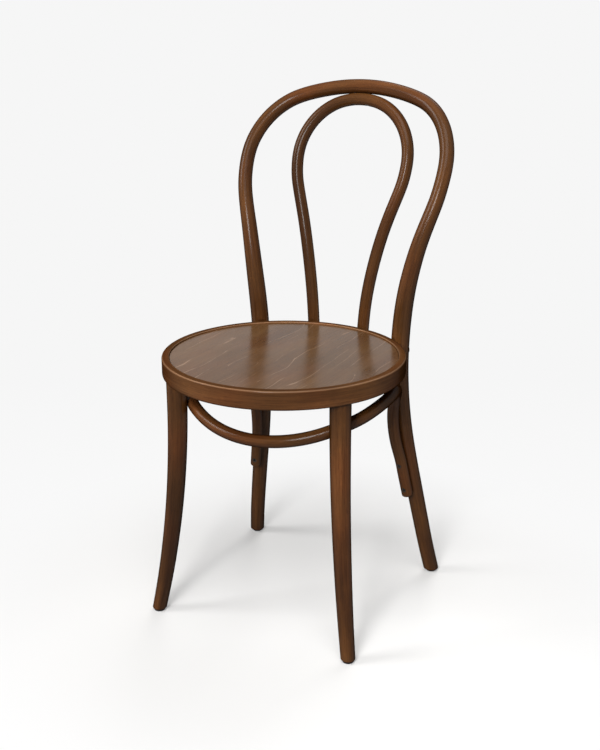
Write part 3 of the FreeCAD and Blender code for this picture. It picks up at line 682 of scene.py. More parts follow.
@dataclass(frozen=True)
class StainedBeech:
    """Beech under a walnut stain and semi-gloss lacquer, with flecks, pores and streaks along the grain.

    Bent wood is painted darker towards its outlines, a painted shade at its silhouettes, and its lacquer
    stops shining there.
    """

    name: str
    dark: Triple = (0.036, 0.0132, 0.0044)
    middle: Triple = (0.089, 0.0338, 0.0098)
    light: Triple = (0.176, 0.0762, 0.0275)
    # Lighter colour of the rim's top edges: partly rubbed wood, partly a painted highlight.
    worn_and_highlight: Triple = (0.330, 0.190, 0.105)
    line: Triple = (0.250, 0.155, 0.095)
    line_share: float = 0.0
    cut: Cut = Cut.BENT
    fine_share: float = 0.65
    drift_share: float = 1.0
    roughness: Pair = (0.22, 0.34)
    specular: float = 0.0
    coat: float = 0.22
    coat_roughness: float = 0.21
    bump: float = 0.00002
    # Share of the colour left at the outlines of bent wood: painted shade.
    edge: float = 0.45

    def place(self, shader: Shader) -> Callable[[float, float], Socket]:
        """A function from a scale across the grain and one along it to coordinates in the wood.

        Args:
            shader: The material under work.

        Returns:
            A function from a scale across the grain and one along it to coordinates.
        """
        if self.cut is Cut.BENT:
            source, order = shader.attribute("grain", "Vector"), (1, 1, 0)
        else:
            source, order = shader.objects(), (1, 0, 1)

        def stretched(cross: float, lengthwise: float) -> Socket:
            """Coordinates with one scale across the grain and one along it."""
            return shader.scaled(source, tuple(cross if flag else lengthwise for flag in order))

        return stretched

    def pale_lines(self, shader: Shader, stretched: Callable[[float, float], Socket]) -> Socket:
        """Thin broken lines along the grain, unevenly spaced and slightly wavy.

        The place across the grain, bent by a slow noise, is folded to and fro; a line stands at each fold,
        and a second noise breaks it.

        Args:
            shader: The material under work.
            stretched: Coordinates by scale.

        Returns:
            The lines' share.
        """
        bend = shader.reckon("MULTIPLY", shader.noise(stretched(9.0, 2.6), 3.0, 0.55), 0.11)
        place = shader.reckon("ADD", shader.axis(stretched(1.0, 1.0), "X"), bend)
        folds = shader.reckon("PINGPONG", shader.reckon("MULTIPLY", place, 84.0), 1.0)
        line = shader.ramp(folds, [(0.93, 0.0), (0.985, 1.0)])
        breaks = shader.ramp(shader.noise(stretched(70.0, 9.0), 3.0, 0.6), [(0.50, 0.0), (0.58, 1.0)])
        return shader.reckon("MULTIPLY", shader.reckon("MULTIPLY", line, breaks), self.line_share)

    def build(self) -> bpy.types.Material:
        """Makes the material.

        The colour is a ramp over long soft streaks; fine lines along the grain, short rays and pores
        lighten and darken it, and a slow drift varies the stain.

        Returns:
            The material.
        """
        shader = Shader(self.name)
        stretched = self.place(shader)
        streaks = shader.noise(stretched(30.0, 2.2), 4.0, 0.55, 0.35)
        lines = shader.noise(stretched(420.0, 7.0), 3.0, 0.6, 0.1)
        pores = shader.noise(stretched(1500.0, 60.0), 2.0)
        rays = shader.noise(stretched(260.0, 90.0), 1.0, 0.4)
        drift = shader.noise(stretched(9.0, 5.0), 3.0, 0.55)
        tints = shader.noise(stretched(16.0, 9.0), 1.0)
        colour = shader.ramp(streaks, [(0.26, self.dark), (0.50, self.middle), (0.76, self.light)])
        layers = (
            (lines, self.fine_share, [(0.34, (0.66, 0.62, 0.58)), (0.52, 1.0), (0.72, (1.20, 1.18, 1.14))]),
            (pores, 0.60, [(0.30, (0.48, 0.42, 0.40)), (0.42, 1.0)]),
            (rays, 0.50, [(0.60, 1.0), (0.74, (1.26, 1.22, 1.15))]),
            (drift, self.drift_share, [(0.28, (0.58, 0.58, 0.56)), (0.50, 1.0), (0.72, (1.42, 1.42, 1.38))]),
            (tints, self.drift_share * 0.75,
             [(0.32, (0.95, 1.01, 0.97)), (0.50, 1.0), (0.68, (1.12, 0.96, 0.94))]),
        )
        for noise, share, stops in layers:
            colour = shader.blend("MULTIPLY", share, colour, shader.ramp(noise, stops))
        patches = shader.ramp(drift, [(0.25, 0.45), (0.6, 1.0)])
        # Lighter colour on the rim's top edges: partly rubbed wood, partly a painted highlight of the rounded
        # edges.
        rubbed_and_highlit = shader.reckon("MULTIPLY", shader.attribute("wear_and_highlight", "Fac"), patches)
        colour = shader.blend("MIX", rubbed_and_highlit, colour, self.worn_and_highlight)
        if self.cut is Cut.BENT:
            # Painted shade: bent wood's colour darkens towards its outlines as the surface turns away from
            # the view; the lacquer fades there too.
            facing = shader.node("ShaderNodeLayerWeight", {"Blend": 0.5}).outputs["Facing"]
            painted_edge_shade = shader.ramp(facing, [(0.35, 1.0), (0.88, self.edge)])
            lacquer = shader.ramp(facing, [(0.38, self.coat), (0.72, 0.0)])
            colour = shader.blend("MULTIPLY", 1.0, colour, painted_edge_shade)
            shader.feed(shader.surface, {"Coat Weight": lacquer})
        if self.line_share > 0:
            colour = shader.blend("MIX", self.pale_lines(shader, stretched), colour, self.line)
        gloss = shader.span(shader.noise(stretched(60.0, 12.0), 3.0), 0.3, 0.7, *self.roughness)
        shader.feed(shader.surface, {
            "Base Color": colour, "Roughness": gloss, "Coat Roughness": self.coat_roughness,
            "Specular IOR Level": self.specular})
        shader.bump(shader.reckon("ADD", shader.reckon("MULTIPLY", lines, 0.5), streaks), 0.4, self.bump)
        return shader.material


@dataclass(frozen=True)
class Steel:
    """Plated or browned steel with fine turning marks and dull patches."""

    name: str
    colour: Triple
    metallic: float
    roughness: Pair

    def build(self) -> bpy.types.Material:
        """Makes the material, mottled by noise on object coordinates.

        Returns:
            The material.
        """
        shader = Shader(self.name)
        spots = shader.noise(shader.scaled(shader.objects(), (700.0,) * 3), 4.0)
        dull = tuple(part * 0.55 for part in self.colour)
        shader.feed(shader.surface, {
            "Base Color": shader.ramp(spots, [(0.32, dull), (0.62, self.colour)]), "Metallic": self.metallic,
            "Roughness": shader.span(spots, 0.3, 0.7, self.roughness[1], self.roughness[0])})
        shader.bump(spots, 0.3, 0.00004)
        return shader.material


@dataclass(frozen=True)
class GlidePlastic:
    """Dark moulded plastic, scuffed underneath by the floor."""

    name: str
    colour: Triple = (0.010, 0.008, 0.007)

    def build(self) -> bpy.types.Material:
        """Makes the material: fine moulded texture and paler scuffs.

        Returns:
            The material.
        """
        shader = Shader(self.name)
        place = shader.objects()
        scuffs = shader.noise(shader.scaled(place, (300.0, 900.0, 300.0)), 5.0, 0.7, 0.6)
        pale = tuple(part * 3.5 for part in self.colour)
        shader.feed(shader.surface, {"Base Color": shader.ramp(scuffs, [(0.50, self.colour), (0.75, pale)]),
                                     "Roughness": 0.62, "Specular IOR Level": 0.15})
        shader.bump(shader.noise(shader.scaled(place, (1800.0,) * 3), 3.0), 0.4, 0.00005)
        return shader.material


class Finishes:
    """All finishes of the chair, built once."""

    def __init__(self) -> None:
        """Builds each material."""
        self.rod = StainedBeech("rod_stain").build()
        self.rim = StainedBeech("rim_stain", dark=(0.074, 0.0285, 0.0092), middle=(0.112, 0.0445, 0.0150),
                                light=(0.158, 0.0670, 0.0250), coat=0.16).build()
        self.panel = StainedBeech("panel_stain", dark=(0.079, 0.0370, 0.0150), middle=(0.097, 0.0470, 0.0188),
                                  light=(0.115, 0.0580, 0.0240), line_share=0.75, cut=Cut.FLAT,
                                  fine_share=0.35, drift_share=0.55, roughness=(0.19, 0.27),
                                  specular=0.08).build()
        self.glide = GlidePlastic("glide_plastic").build()
        self.steel = Steel("zinc_plate", (0.62, 0.61, 0.58), 1.0, (0.28, 0.50)).build()
        self.dark_steel = Steel("browned_steel", (0.040, 0.028, 0.021), 0.6, (0.40, 0.60)).build()


@dataclass(frozen=True)
class Screw:
    """One countersunk screw: the surface point under its head, and its direction."""

    surface: Array
    along: Array
    length: float
    diameter: float = 4.5
    head_diameter: float = 9.0
    sink: float = 1.2
    pitch: float = 1.8
    thread_depth: float = 0.28
    thread_start: float = 1.5
    tip_length: float = 4.0
    head_edge: float = 0.35
    recess_width: float = 0.16
    recess_reach: float = 0.5
    recess_depth: float = 0.42
    sides: int = 48
    row_step: float = 0.3

    def hole(self) -> Hole:
        """Mouth, direction and profile of the hole that the screw sits in.

        Returns:
            Its mouth, direction and profile.
        """
        wide, slim = self.head_diameter / 2 + BORE_CLEARANCE, self.diameter / 2 + BORE_CLEARANCE
        profile = np.array([(0.0, -2 * wide), (wide, -2 * wide), (wide, self.sink),
                            (slim, self.sink + wide - slim), (slim, self.length + self.sink),
                            (0.0, self.length + self.sink)])
        return self.surface, self.along, profile

    def grid(self) -> Grid:
        """Head and shank: a cross recess in a flat head, a cone, a thread and a tip.

        Row heights are fixed; the radius of a thread point is the core plus the thread's depth times
        how near the point is to the crest of its turn, and the recess lowers head points near two
        crossed lines.

        Returns:
            The grid, capped at both ends.
        """
        head, slim = self.head_diameter / 2, self.diameter / 2
        neck, end = self.head_edge + head - slim, self.length - self.tip_length
        flat = np.array([0.0, 0.12, 0.24, 0.36, 0.48, 0.6, 0.75, 0.92, 0.985]) * head
        thread = np.arange(neck + self.thread_start, end, self.row_step)
        tip = np.linspace(0.0, 1.0, 7)[1:]
        rows = np.concatenate([np.stack([flat, np.zeros(len(flat))], axis=1),
                               [(head, 0.12), (head, self.head_edge), (slim, neck)],
                               np.stack([np.full(len(thread), slim), thread], axis=1),
                               np.stack([slim * (1 - tip * 0.98), end + self.tip_length * tip], axis=1)])
        angle = around(self.sides)
        radius, height = spread(rows, self.sides)
        threaded = (height > neck + self.thread_start - 0.1) & (height < end + 0.1)
        depth = self.thread_depth * (1 - crest(height, angle, self.pitch, 4.0))
        radius = np.where(threaded, radius * (1 - depth), radius)
        cross = np.minimum(np.abs(np.cos(angle)), np.abs(np.sin(angle))) * radius
        recess = (np.clip(1 - cross / (head * self.recess_width), 0, 1)
                  * np.clip(1.35 - radius / (head * self.recess_reach), 0, 1))
        sunk = np.clip(recess * 2.2, 0, 1) * head * self.recess_depth
        height = height + np.where(rows[:, 1:] == 0, sunk, 0.0)
        along = unit(self.along)
        surface = turned(radius, height, self.surface + along * self.sink, along, np.array([0.3, 0.2, 1.0]))
        grain = np.stack([radius, height, np.repeat(angle[None], len(rows), axis=0)], axis=2)
        return Grid(surface[1:, :-1], grain[1:], cap_start=True, cap_end=True)


def screw_through(centre: Array, outward: Array, diameter: float, length: float) -> Screw:
    """Screw from the outside of a rod, through its middle."""
    return Screw(centre + outward * (diameter / 2), -outward, length)


@dataclass(frozen=True)
class SeatBolt:
    """Domed bolt from behind a post, through the post and the rim, to a washer and nut inside."""

    head: Array
    inward: Array
    diameter: float = 6.0
    head_diameter: float = 16.0
    head_height: float = 2.4
    bolt_end: float = 2.5
    thread_length: float = 14.0
    thread_depth: float = 0.12
    washer_diameter: float = 16.0
    washer_thickness: float = 1.6
    nut_width: float = 10.0
    nut_height: float = 5.0
    nut_chamfer: float = 0.8

    @property
    def washer_depth(self) -> float:
        """Distance from the head's underside to the washer, which bears on the hollow rim by its edges."""
        wall = math.sqrt(SEAT.inner_radius ** 2 - (self.washer_diameter / 2) ** 2)
        return float(np.linalg.norm(self.head[:2])) - wall

    @property
    def length(self) -> float:
        """Length of the shank."""
        return self.washer_depth + self.washer_thickness + self.nut_height + self.bolt_end

    def head_hole(self) -> Hole:
        """Seat of the head in the back of the post, and the bore through it.

        Returns:
            Its mouth, direction and profile.
        """
        wide, slim = self.head_diameter / 2 + SEAT.fit, self.diameter / 2 + BORE_CLEARANCE
        profile = np.array([(0.0, -self.head_diameter), (wide, -self.head_diameter), (wide, 0.0), (slim, 0.0),
                            (slim, self.length), (0.0, self.length)])
        return self.head, self.inward, profile

    def bolt(self) -> Grid:
        """Dome as a circle's arc, and a threaded shank.

        Returns:
            The grid.
        """
        half, radius, length = self.head_diameter / 2, self.diameter / 2, self.length
        dome = (half ** 2 + self.head_height ** 2) / (2 * self.head_height)
        rise = np.linspace(math.pi / 2, math.asin((dome - self.head_height) / dome), 12)
        cap = np.stack([dome * np.cos(rise), -(dome * np.sin(rise) - dome + self.head_height)], axis=1)
        cap[0, 0] = 0.0
        start = length - self.thread_length
        shank = np.arange(start, length - 0.8, 0.25)
        rows = np.concatenate([cap, [(half, 0.0), (radius, 0.0), (radius, start - 0.2)],
                               np.stack([np.full(len(shank), radius), shank], axis=1),
                               [(radius * 0.8, length), (0.0, length)]])

        def thread(_distance: Array, height: Array, angle: Array) -> Array:
            """Share of the radius that the thread leaves: all on its crests and less between them."""
            threaded = (height > start - 0.1) & (height < length - 0.7)
            return np.where(threaded, 1 - self.thread_depth * (1 - crest(height, angle, 1.0, 3.0)), 1.0)

        return swell(lathe_grid(rows, 48, self.head, self.inward), self.head, unit(self.inward), thread)

    def ring(self, size: Triple, bore_ease: float, edge_ease: float, sides: int) -> Grid:
        """Ring with rounded edges round the shank, sized by its radius, its start's depth and its height.

        Args:
            size: Radius, depth of the start, and height.
            bore_ease: Rounding at the bore.
            edge_ease: Rounding at the rim.
            sides: Points round the ring.

        Returns:
            The grid.
        """
        bore, (half, base, tall) = self.diameter / 2 + BORE_CLEARANCE, size
        profile = rounded_profile([(bore, 0.0, bore_ease), (half, 0.0, edge_ease), (half, tall, edge_ease),
                                   (bore, tall, bore_ease)], 4)
        return lathe_grid(profile + np.array([0.0, base]), sides, self.head, self.inward, ring=True)

    def washer(self) -> Grid:
        """Flat ring with softened edges."""
        return self.ring((self.washer_diameter / 2, self.washer_depth, self.washer_thickness), 0.1, 0.3, 56)

    def nut(self) -> Grid:
        """Hexagon ring: the radius is a side's distance over the cosine of the angle from its middle.

        Returns:
            The grid.
        """
        bore, flat, tall = self.diameter / 2 + BORE_CLEARANCE, self.nut_width / 2, self.nut_height
        base = self.washer_depth + self.washer_thickness

        def hexagon(distance: Array, height: Array, angle: Array) -> Array:
            """Growth of the radius: most at the corners, and less near both ends.

            Args:
                distance: Distances from the bolt's axis.
                height: Heights along it.
                angle: Angles round it.

            Returns:
                The factor for each point.
            """
            corner = 1 / np.cos((angle + math.pi / 6) % (math.pi / 3) - math.pi / 6)
            edge = np.clip((distance - bore) / (flat - bore), 0, 1)
            inside = np.clip(np.minimum(height - base, base + tall - height) / self.nut_chamfer, 0.0, 1.0)
            return 1 + (corner - 1) * edge * (0.55 + 0.45 * inside)

        return swell(self.ring((flat, base, tall), 0.4, 0.25, 72), self.head, unit(self.inward), hexagon)


def sawn_level(grid: Grid, height: float = GLIDE_THICKNESS, ease: float = 2.2) -> Grid:
    """Rod with both ends below a height, sawn level there and slightly rounded at the edge.

    The first rings above the height take over the ends: each of their points slides along its own row
    line to the height. A short quarter round is added by pulling the last ring in.

    Args:
        grid: The rod.
        height: Height of the sawn ends.
        ease: Radius of the rounding.

    Returns:
        The shortened rod.
    """
    rows = np.nonzero(grid.points[:, :, 2].min(axis=1) > height + ease)[0]
    first, last = rows[0], rows[-1]
    surface, grain = grid.points, grid.grain

    def ending(at: int, beyond: int) -> Tuple[Array, Array]:
        """Rings that carry the surface on from one row to the sawn plane, if the rod has the other row.

        Args:
            at: Row that the rings carry on.
            beyond: Row beyond it.

        Returns:
            The rings' points and grain.
        """
        if not 0 <= beyond < len(surface):
            return surface[:0], grain[:0]
        here, there = surface[at], surface[beyond]
        centre, step = here.mean(axis=0), there.mean(axis=0) - here.mean(axis=0)
        middle = centre + step * ((height - here[:, 2].mean()) / (there[:, 2].mean() - here[:, 2].mean()))
        made, marks = [], []
        for turn in np.linspace(0.0, math.pi / 2, 5):
            level = height + ease * (1 - math.sin(turn))
            share = (level - here[:, 2:]) / (there - here)[:, 2:]
            ring = here + (there - here) * share
            flat = ring[:, :2] - middle[:2]
            scale = 1 - ease * (1 - math.cos(turn)) / np.linalg.norm(flat, axis=1, keepdims=True)
            made.append(np.concatenate([middle[:2] + flat * scale, ring[:, 2:]], axis=1))
            marks.append(grain[at] + (grain[beyond] - grain[at]) * np.append(share, share[:1], axis=0))
        return np.stack(made), np.stack(marks)

    (head, head_grain), (tail, tail_grain) = ending(first, first - 4), ending(last, last + 4)
    points = np.concatenate([head[::-1], surface[first:last + 1], tail])
    marks = np.concatenate([head_grain[::-1], grain[first:last + 1], tail_grain])
    return Grid(points, marks, cap_start=True, cap_end=True)


def notched(points: Array) -> Array:
    """Points inside the rim's outer face moved straight out to it, between its two edges.

    Args:
        points: Points of a rod.

    Returns:
        The points, moved where they lay inside the rim.
    """
    distance = np.linalg.norm(points[..., :2], axis=-1)
    inside = ((distance < SEAT.radius + SEAT.fit) & (points[..., 2] > SEAT.rim_bottom - SEAT.fit)
              & (points[..., 2] < SEAT.height + SEAT.fit))
    scale = np.where(inside, (SEAT.radius + SEAT.fit) / np.maximum(distance, 1.0), 1.0)
    return points * np.stack([scale, scale, np.ones_like(scale)], axis=-1)


@dataclass
class BackFrame:
    """Rear legs, posts and outer bow: one bent rod, notched where the posts hug the rim."""

    foot_diameter: float = 27.0
    post_diameter: float = 32.0
    bow_diameter: float = 25.0
    top_rise: float = 411.7
    half_width: float = 190.5
    widest_rise: float = 288.8
    crown_radius: float = 372.0
    hip_radius: float = 250.0
    taper_length: float = 275.0
    waist_half_width: float = 138.5
    waist_drop: float = 50.0
    leg_bend_radius: float = 1186.0
    foot_half_spread: float = 189.5
    upright_rise: float = 55.0
    rake: float = 8.4
    rake_radius: float = 1620.0
    kick_height: float = 100.0
    kick_radius: float = 1000.0
    lean_radius: float = 530.0
    notch_depth: float = 1.8
    bolt_sink: float = 1.5
    foot_overrun: float = 19.0
    outline: Array = field(init=False)
    front_line: float = field(init=False)

    def __post_init__(self) -> None:
        """Works out the outline and how far back the frame stands."""
        waist = SEAT.height - self.waist_drop
        bow = bow_outline(SEAT.height + self.top_rise, self.half_width, SEAT.height + self.widest_rise,
                          self.crown_radius, self.hip_radius, self.waist_half_width, waist)
        self.outline = np.concatenate([bow, self.leg_outline()])
        height = SEAT.fastener_height
        distance = SEAT.radius + float(self.radius(height)) - self.notch_depth
        depth = math.sqrt(distance ** 2 - width_at(self.outline, height) ** 2)
        self.front_line = depth - float(self.lean(height))

    def leg_outline(self) -> Array:
        """Right rear leg from the front, below the waist: one arc, then a straight to the floor.

        Returns:
            Rows of half width and height.
        """
        waist = SEAT.height - self.waist_drop
        centre = self.waist_half_width + self.leg_bend_radius
        reach = centre - self.foot_half_spread
        splay = math.atan2(waist, reach) - math.acos(self.leg_bend_radius / math.hypot(reach, waist))
        bend = arc((centre, waist), self.leg_bend_radius, math.pi, math.pi + splay, 5)[1:]
        share = np.array([0.25, 0.5, 0.7, 0.85, 1.0])[:, None]
        return np.concatenate([bend, bend[-1] + (np.array([self.foot_half_spread, 0.0]) - bend[-1]) * share])

    def lean(self, height: Height) -> Height:
        """Distance behind the foremost line: an arc above, and an arc, a rake and a foot's kick below.

        Args:
            height: One height or many.

        Returns:
            The distance for each.
        """
        upright = SEAT.height + self.upright_rise
        rise, drop = np.maximum(height - upright, 0), np.maximum(upright - height, 0)
        back = self.lean_radius - np.sqrt(self.lean_radius ** 2 - rise ** 2)
        rake = math.radians(self.rake)
        bend = self.rake_radius * math.sin(rake)
        curved = self.rake_radius - np.sqrt(self.rake_radius ** 2 - np.minimum(drop, bend) ** 2)
        kick = np.maximum(self.kick_height - height, 0) ** 2 / (2 * self.kick_radius)
        return back + curved + np.maximum(drop - bend, 0) * math.tan(rake) + kick

    def radius(self, height: Height) -> Height:
        """Rod radius: thickest at the seat, easing to the bow above and straight to the foot below.

        Args:
            height: One height or many.

        Returns:
            The radius for each.
        """
        share = np.clip((height - SEAT.height) / self.taper_length, 0, 1)
        above = self.post_diameter + (self.bow_diameter - self.post_diameter) * share ** 2 * (3 - 2 * share)
        swelling = self.post_diameter - self.foot_diameter
        below = self.foot_diameter + swelling * np.clip(height / SEAT.height, 0, 1)
        return np.where(height > SEAT.height, above, below) / 2

    def point(self, half_width: float, height: float) -> Array:
        """Point of the centre line."""
        return np.array([half_width, self.front_line + float(self.lean(height)), height])

    def leg_axis(self, height: float, side: int) -> Array:
        """Centre of a rear leg or post at a height."""
        return self.point(side * width_at(self.outline, height), height)

    def bolts(self) -> List[SeatBolt]:
        """The two bolts that hold the posts to the rim.

        Returns:
            The left bolt and the right one.
        """
        reach = float(self.radius(SEAT.fastener_height)) - self.bolt_sink
        axes = [self.leg_axis(SEAT.fastener_height, side.value) for side in Side]
        return [SeatBolt(axis + unit(axis * LEVEL) * reach, -unit(axis * LEVEL)) for axis in axes]

    def build(self, finishes: Finishes) -> bpy.types.Object:
        """Makes the frame, sawn level over its glides, notched round the rim, and bored for the bolts.

        The centre line runs on below the floor at both feet, for the saw cut.

        Args:
            finishes: The chair's finishes.

        Returns:
            The piece.
        """
        right = np.stack([self.outline[:, 0], self.front_line + self.lean(self.outline[:, 1]),
                          self.outline[:, 1]], axis=1)
        right = np.concatenate([right, right[-1:] + unit(right[-1] - right[-2])[None] * self.foot_overrun])
        points, along = mirrored(right).even(3.0)
        grid = sawn_level(rod_grid(points, along, self.radius(points[:, 2]), 56, (11.0, 3.0, 0.0)))
        grid.points = notched(grid.points)
        return make_piece("back_frame", "rod", [grid], finishes.rod, "frame_wood",
                          [bolt.head_hole() for bolt in self.bolts()])


@dataclass
class InnerBow:
    """Slim bow inside the outer one, touching it at the crown and notched behind the rim."""

    frame: BackFrame
    diameter: float = 21.2
    half_width: float = 106.5
    widest_rise: float = 289.3
    crown_radius: float = 130.0
    hip_radius: float = 170.0
    waist_half_width: float = 47.5
    waist_drop: float = 60.0
    upright_drop: float = 25.0
    tuck: float = 23.0
    end_rise: float = 4.0
    top_screw_offset: float = 13.0
    top_screw_length: float = 33.0
    end_screw_length: float = 45.0

    @property
    def tucked(self) -> Array:
        """Direction from the inner bow's crown to the outer bow's."""
        tuck = math.radians(self.tuck)
        return np.array([0.0, math.sin(tuck), math.cos(tuck)])

    def half_line(self) -> Array:
        """Right half of the centre line, from the crown to the end behind the rim.

        Returns:
            Rows of x, y, z.
        """
        spacing = (self.frame.bow_diameter + self.diameter) / 2 + SEAT.rod_fit
        crown = self.frame.point(0.0, SEAT.height + self.frame.top_rise) - self.tucked * spacing
        outline = bow_outline(crown[2], self.half_width, SEAT.height + self.widest_rise, self.crown_radius,
                              self.hip_radius, self.waist_half_width, SEAT.height - self.waist_drop)
        end_height = SEAT.rim_bottom + self.end_rise
        end_width = width_at(outline, end_height)
        distance = SEAT.radius + self.diameter / 2 - self.frame.notch_depth
        front = math.sqrt(distance ** 2 - end_width ** 2)
        upright = SEAT.height - self.upright_drop
        rise, depth = crown[2] - upright, crown[1] - front
        lean_radius = (rise ** 2 + depth ** 2) / (2 * depth)
        kept = outline[outline[:, 1] > end_height + self.diameter]
        above = np.maximum(kept[:, 1] - upright, 0)
        setback = lean_radius - np.sqrt(lean_radius ** 2 - above ** 2)
        line = np.stack([kept[:, 0], front + setback, kept[:, 1]], axis=1)
        return np.concatenate([line, [[end_width, front, end_height]]])

    def top_screws(self) -> List[Screw]:
        """Screws from under the bow's crown into the outer bow.

        Returns:
            The left screw and the right one.
        """
        half = self.top_screw_offset
        sag = self.crown_radius - math.sqrt(self.crown_radius ** 2 - half ** 2)
        crown = self.half_line()[0] - UP * sag - self.tucked * (self.diameter / 2)
        return [Screw(crown + np.array([side.value * half, 0.0, 0.0]), self.tucked, self.top_screw_length)
                for side in Side]

    def end_screws(self) -> List[Screw]:
        """Screws from behind, through the ends of the bow into the rim.

        Returns:
            The left screw and the right one.
        """
        end = self.half_line()[-1]
        axes = [np.array([side.value * end[0], end[1], SEAT.fastener_height]) for side in Side]
        return [screw_through(axis, unit(axis * LEVEL), self.diameter, self.end_screw_length)
                for axis in axes]

    def build(self, finishes: Finishes) -> bpy.types.Object:
        """Makes the bow with its countersunk holes.

        Args:
            finishes: The chair's finishes.

        Returns:
            The piece.
        """
        points, along = mirrored(self.half_line()).even(3.0)
        grid = rod_grid(points, along, np.full(len(points), self.diameter / 2), 48, (95.0, 40.0, 0.0),
                        round_ends=1.5)
        grid.points = notched(grid.points)
        return make_piece("inner_bow", "rod", [grid], finishes.rod, "frame_wood",
                          [screw.hole() for screw in self.top_screws() + self.end_screws()])


@dataclass
class FrontLeg:
    """Sabre leg with a round tenon that stands in the rim."""

    side: Side
    top_diameter: float = 34.6
    foot_diameter: float = 24.0
    inset: float = 23.0
    bearing: float = -32.8
    splay_bearing: float = -44.0
    straight: float = 37.0
    bend_radius: float = 1715.0
    taper_ease: float = 1.5
    tenon_diameter: float = 20.0
    tenon_length: float = 17.0
    tenon_chamfer: float = 1.0
    shoulder_ease: float = 0.6
    foot_overrun: float = 19.0
    screw_length: float = 22.0

    def axis(self, height: float) -> Array:
        """Centre of the leg at a height: upright below the rim, then one long outward arc.

        Args:
            height: The height.

        Returns:
            The point.
        """
        drop = max(SEAT.rim_bottom - self.straight - height, 0.0)
        splay = self.bend_radius - math.sqrt(self.bend_radius ** 2 - drop ** 2)
        base = bearing(self.bearing, self.side.value) * (SEAT.radius - self.inset)
        return base + bearing(self.splay_bearing, self.side.value) * splay + UP * height

    def radius(self, height: Height) -> Height:
        """Radius at a height, swelling quickly above the foot and slowly towards the rim."""
        share = 1 - (1 - np.clip(height / SEAT.rim_bottom, 0, 1)) ** self.taper_ease
        return (self.foot_diameter + (self.top_diameter - self.foot_diameter) * share) / 2

    def screw(self) -> Screw:
        """Screw from inside the rim into the tenon."""
        outward = bearing(self.bearing, self.side.value)
        return Screw(outward * SEAT.inner_radius + UP * SEAT.fastener_height, outward, self.screw_length)

    def build(self, finishes: Finishes) -> bpy.types.Object:
        """Makes the leg: the bent rod, a level shoulder under the rim and the tenon above it.

        Args:
            finishes: The chair's finishes.

        Returns:
            The piece.
        """
        heights = SEAT.rim_bottom * np.array([1.0, 0.85, 0.7, 0.55, 0.4, 0.25, 0.12, 0.0])
        line = [self.axis(height) for height in heights]
        line.append(line[-1] + unit(line[-1] - line[-2]) * self.foot_overrun)
        points, along = Curve(np.array(line)).even(3.0)
        radius, half, side = self.radius(points[:, 2]), self.tenon_diameter / 2, self.side
        shoulder = points[0] - UP * SEAT.fit
        tenon = shoulder + UP * (self.tenon_length + SEAT.fit)
        top = [tenon, tenon - UP * self.tenon_chamfer, shoulder, shoulder]
        top_radius = [half - self.tenon_chamfer, half, half, radius[0] - self.shoulder_ease]
        points, along, radius = (np.concatenate([first, rest[1:]]) for first, rest in (
            (top, points), ([-18.0, -17.0, -1.0, 0.0], along), (top_radius, radius)))
        grid = rod_grid(points, along, radius, 56, (200.0 + 70.0 * side.value, 25.0, 31.0 * side.value),
                        upright=len(top) + 1)
        return make_piece("front_leg_" + side.name.lower(), "turned", [sawn_level(grid)], finishes.rod,
                          "frame_wood")


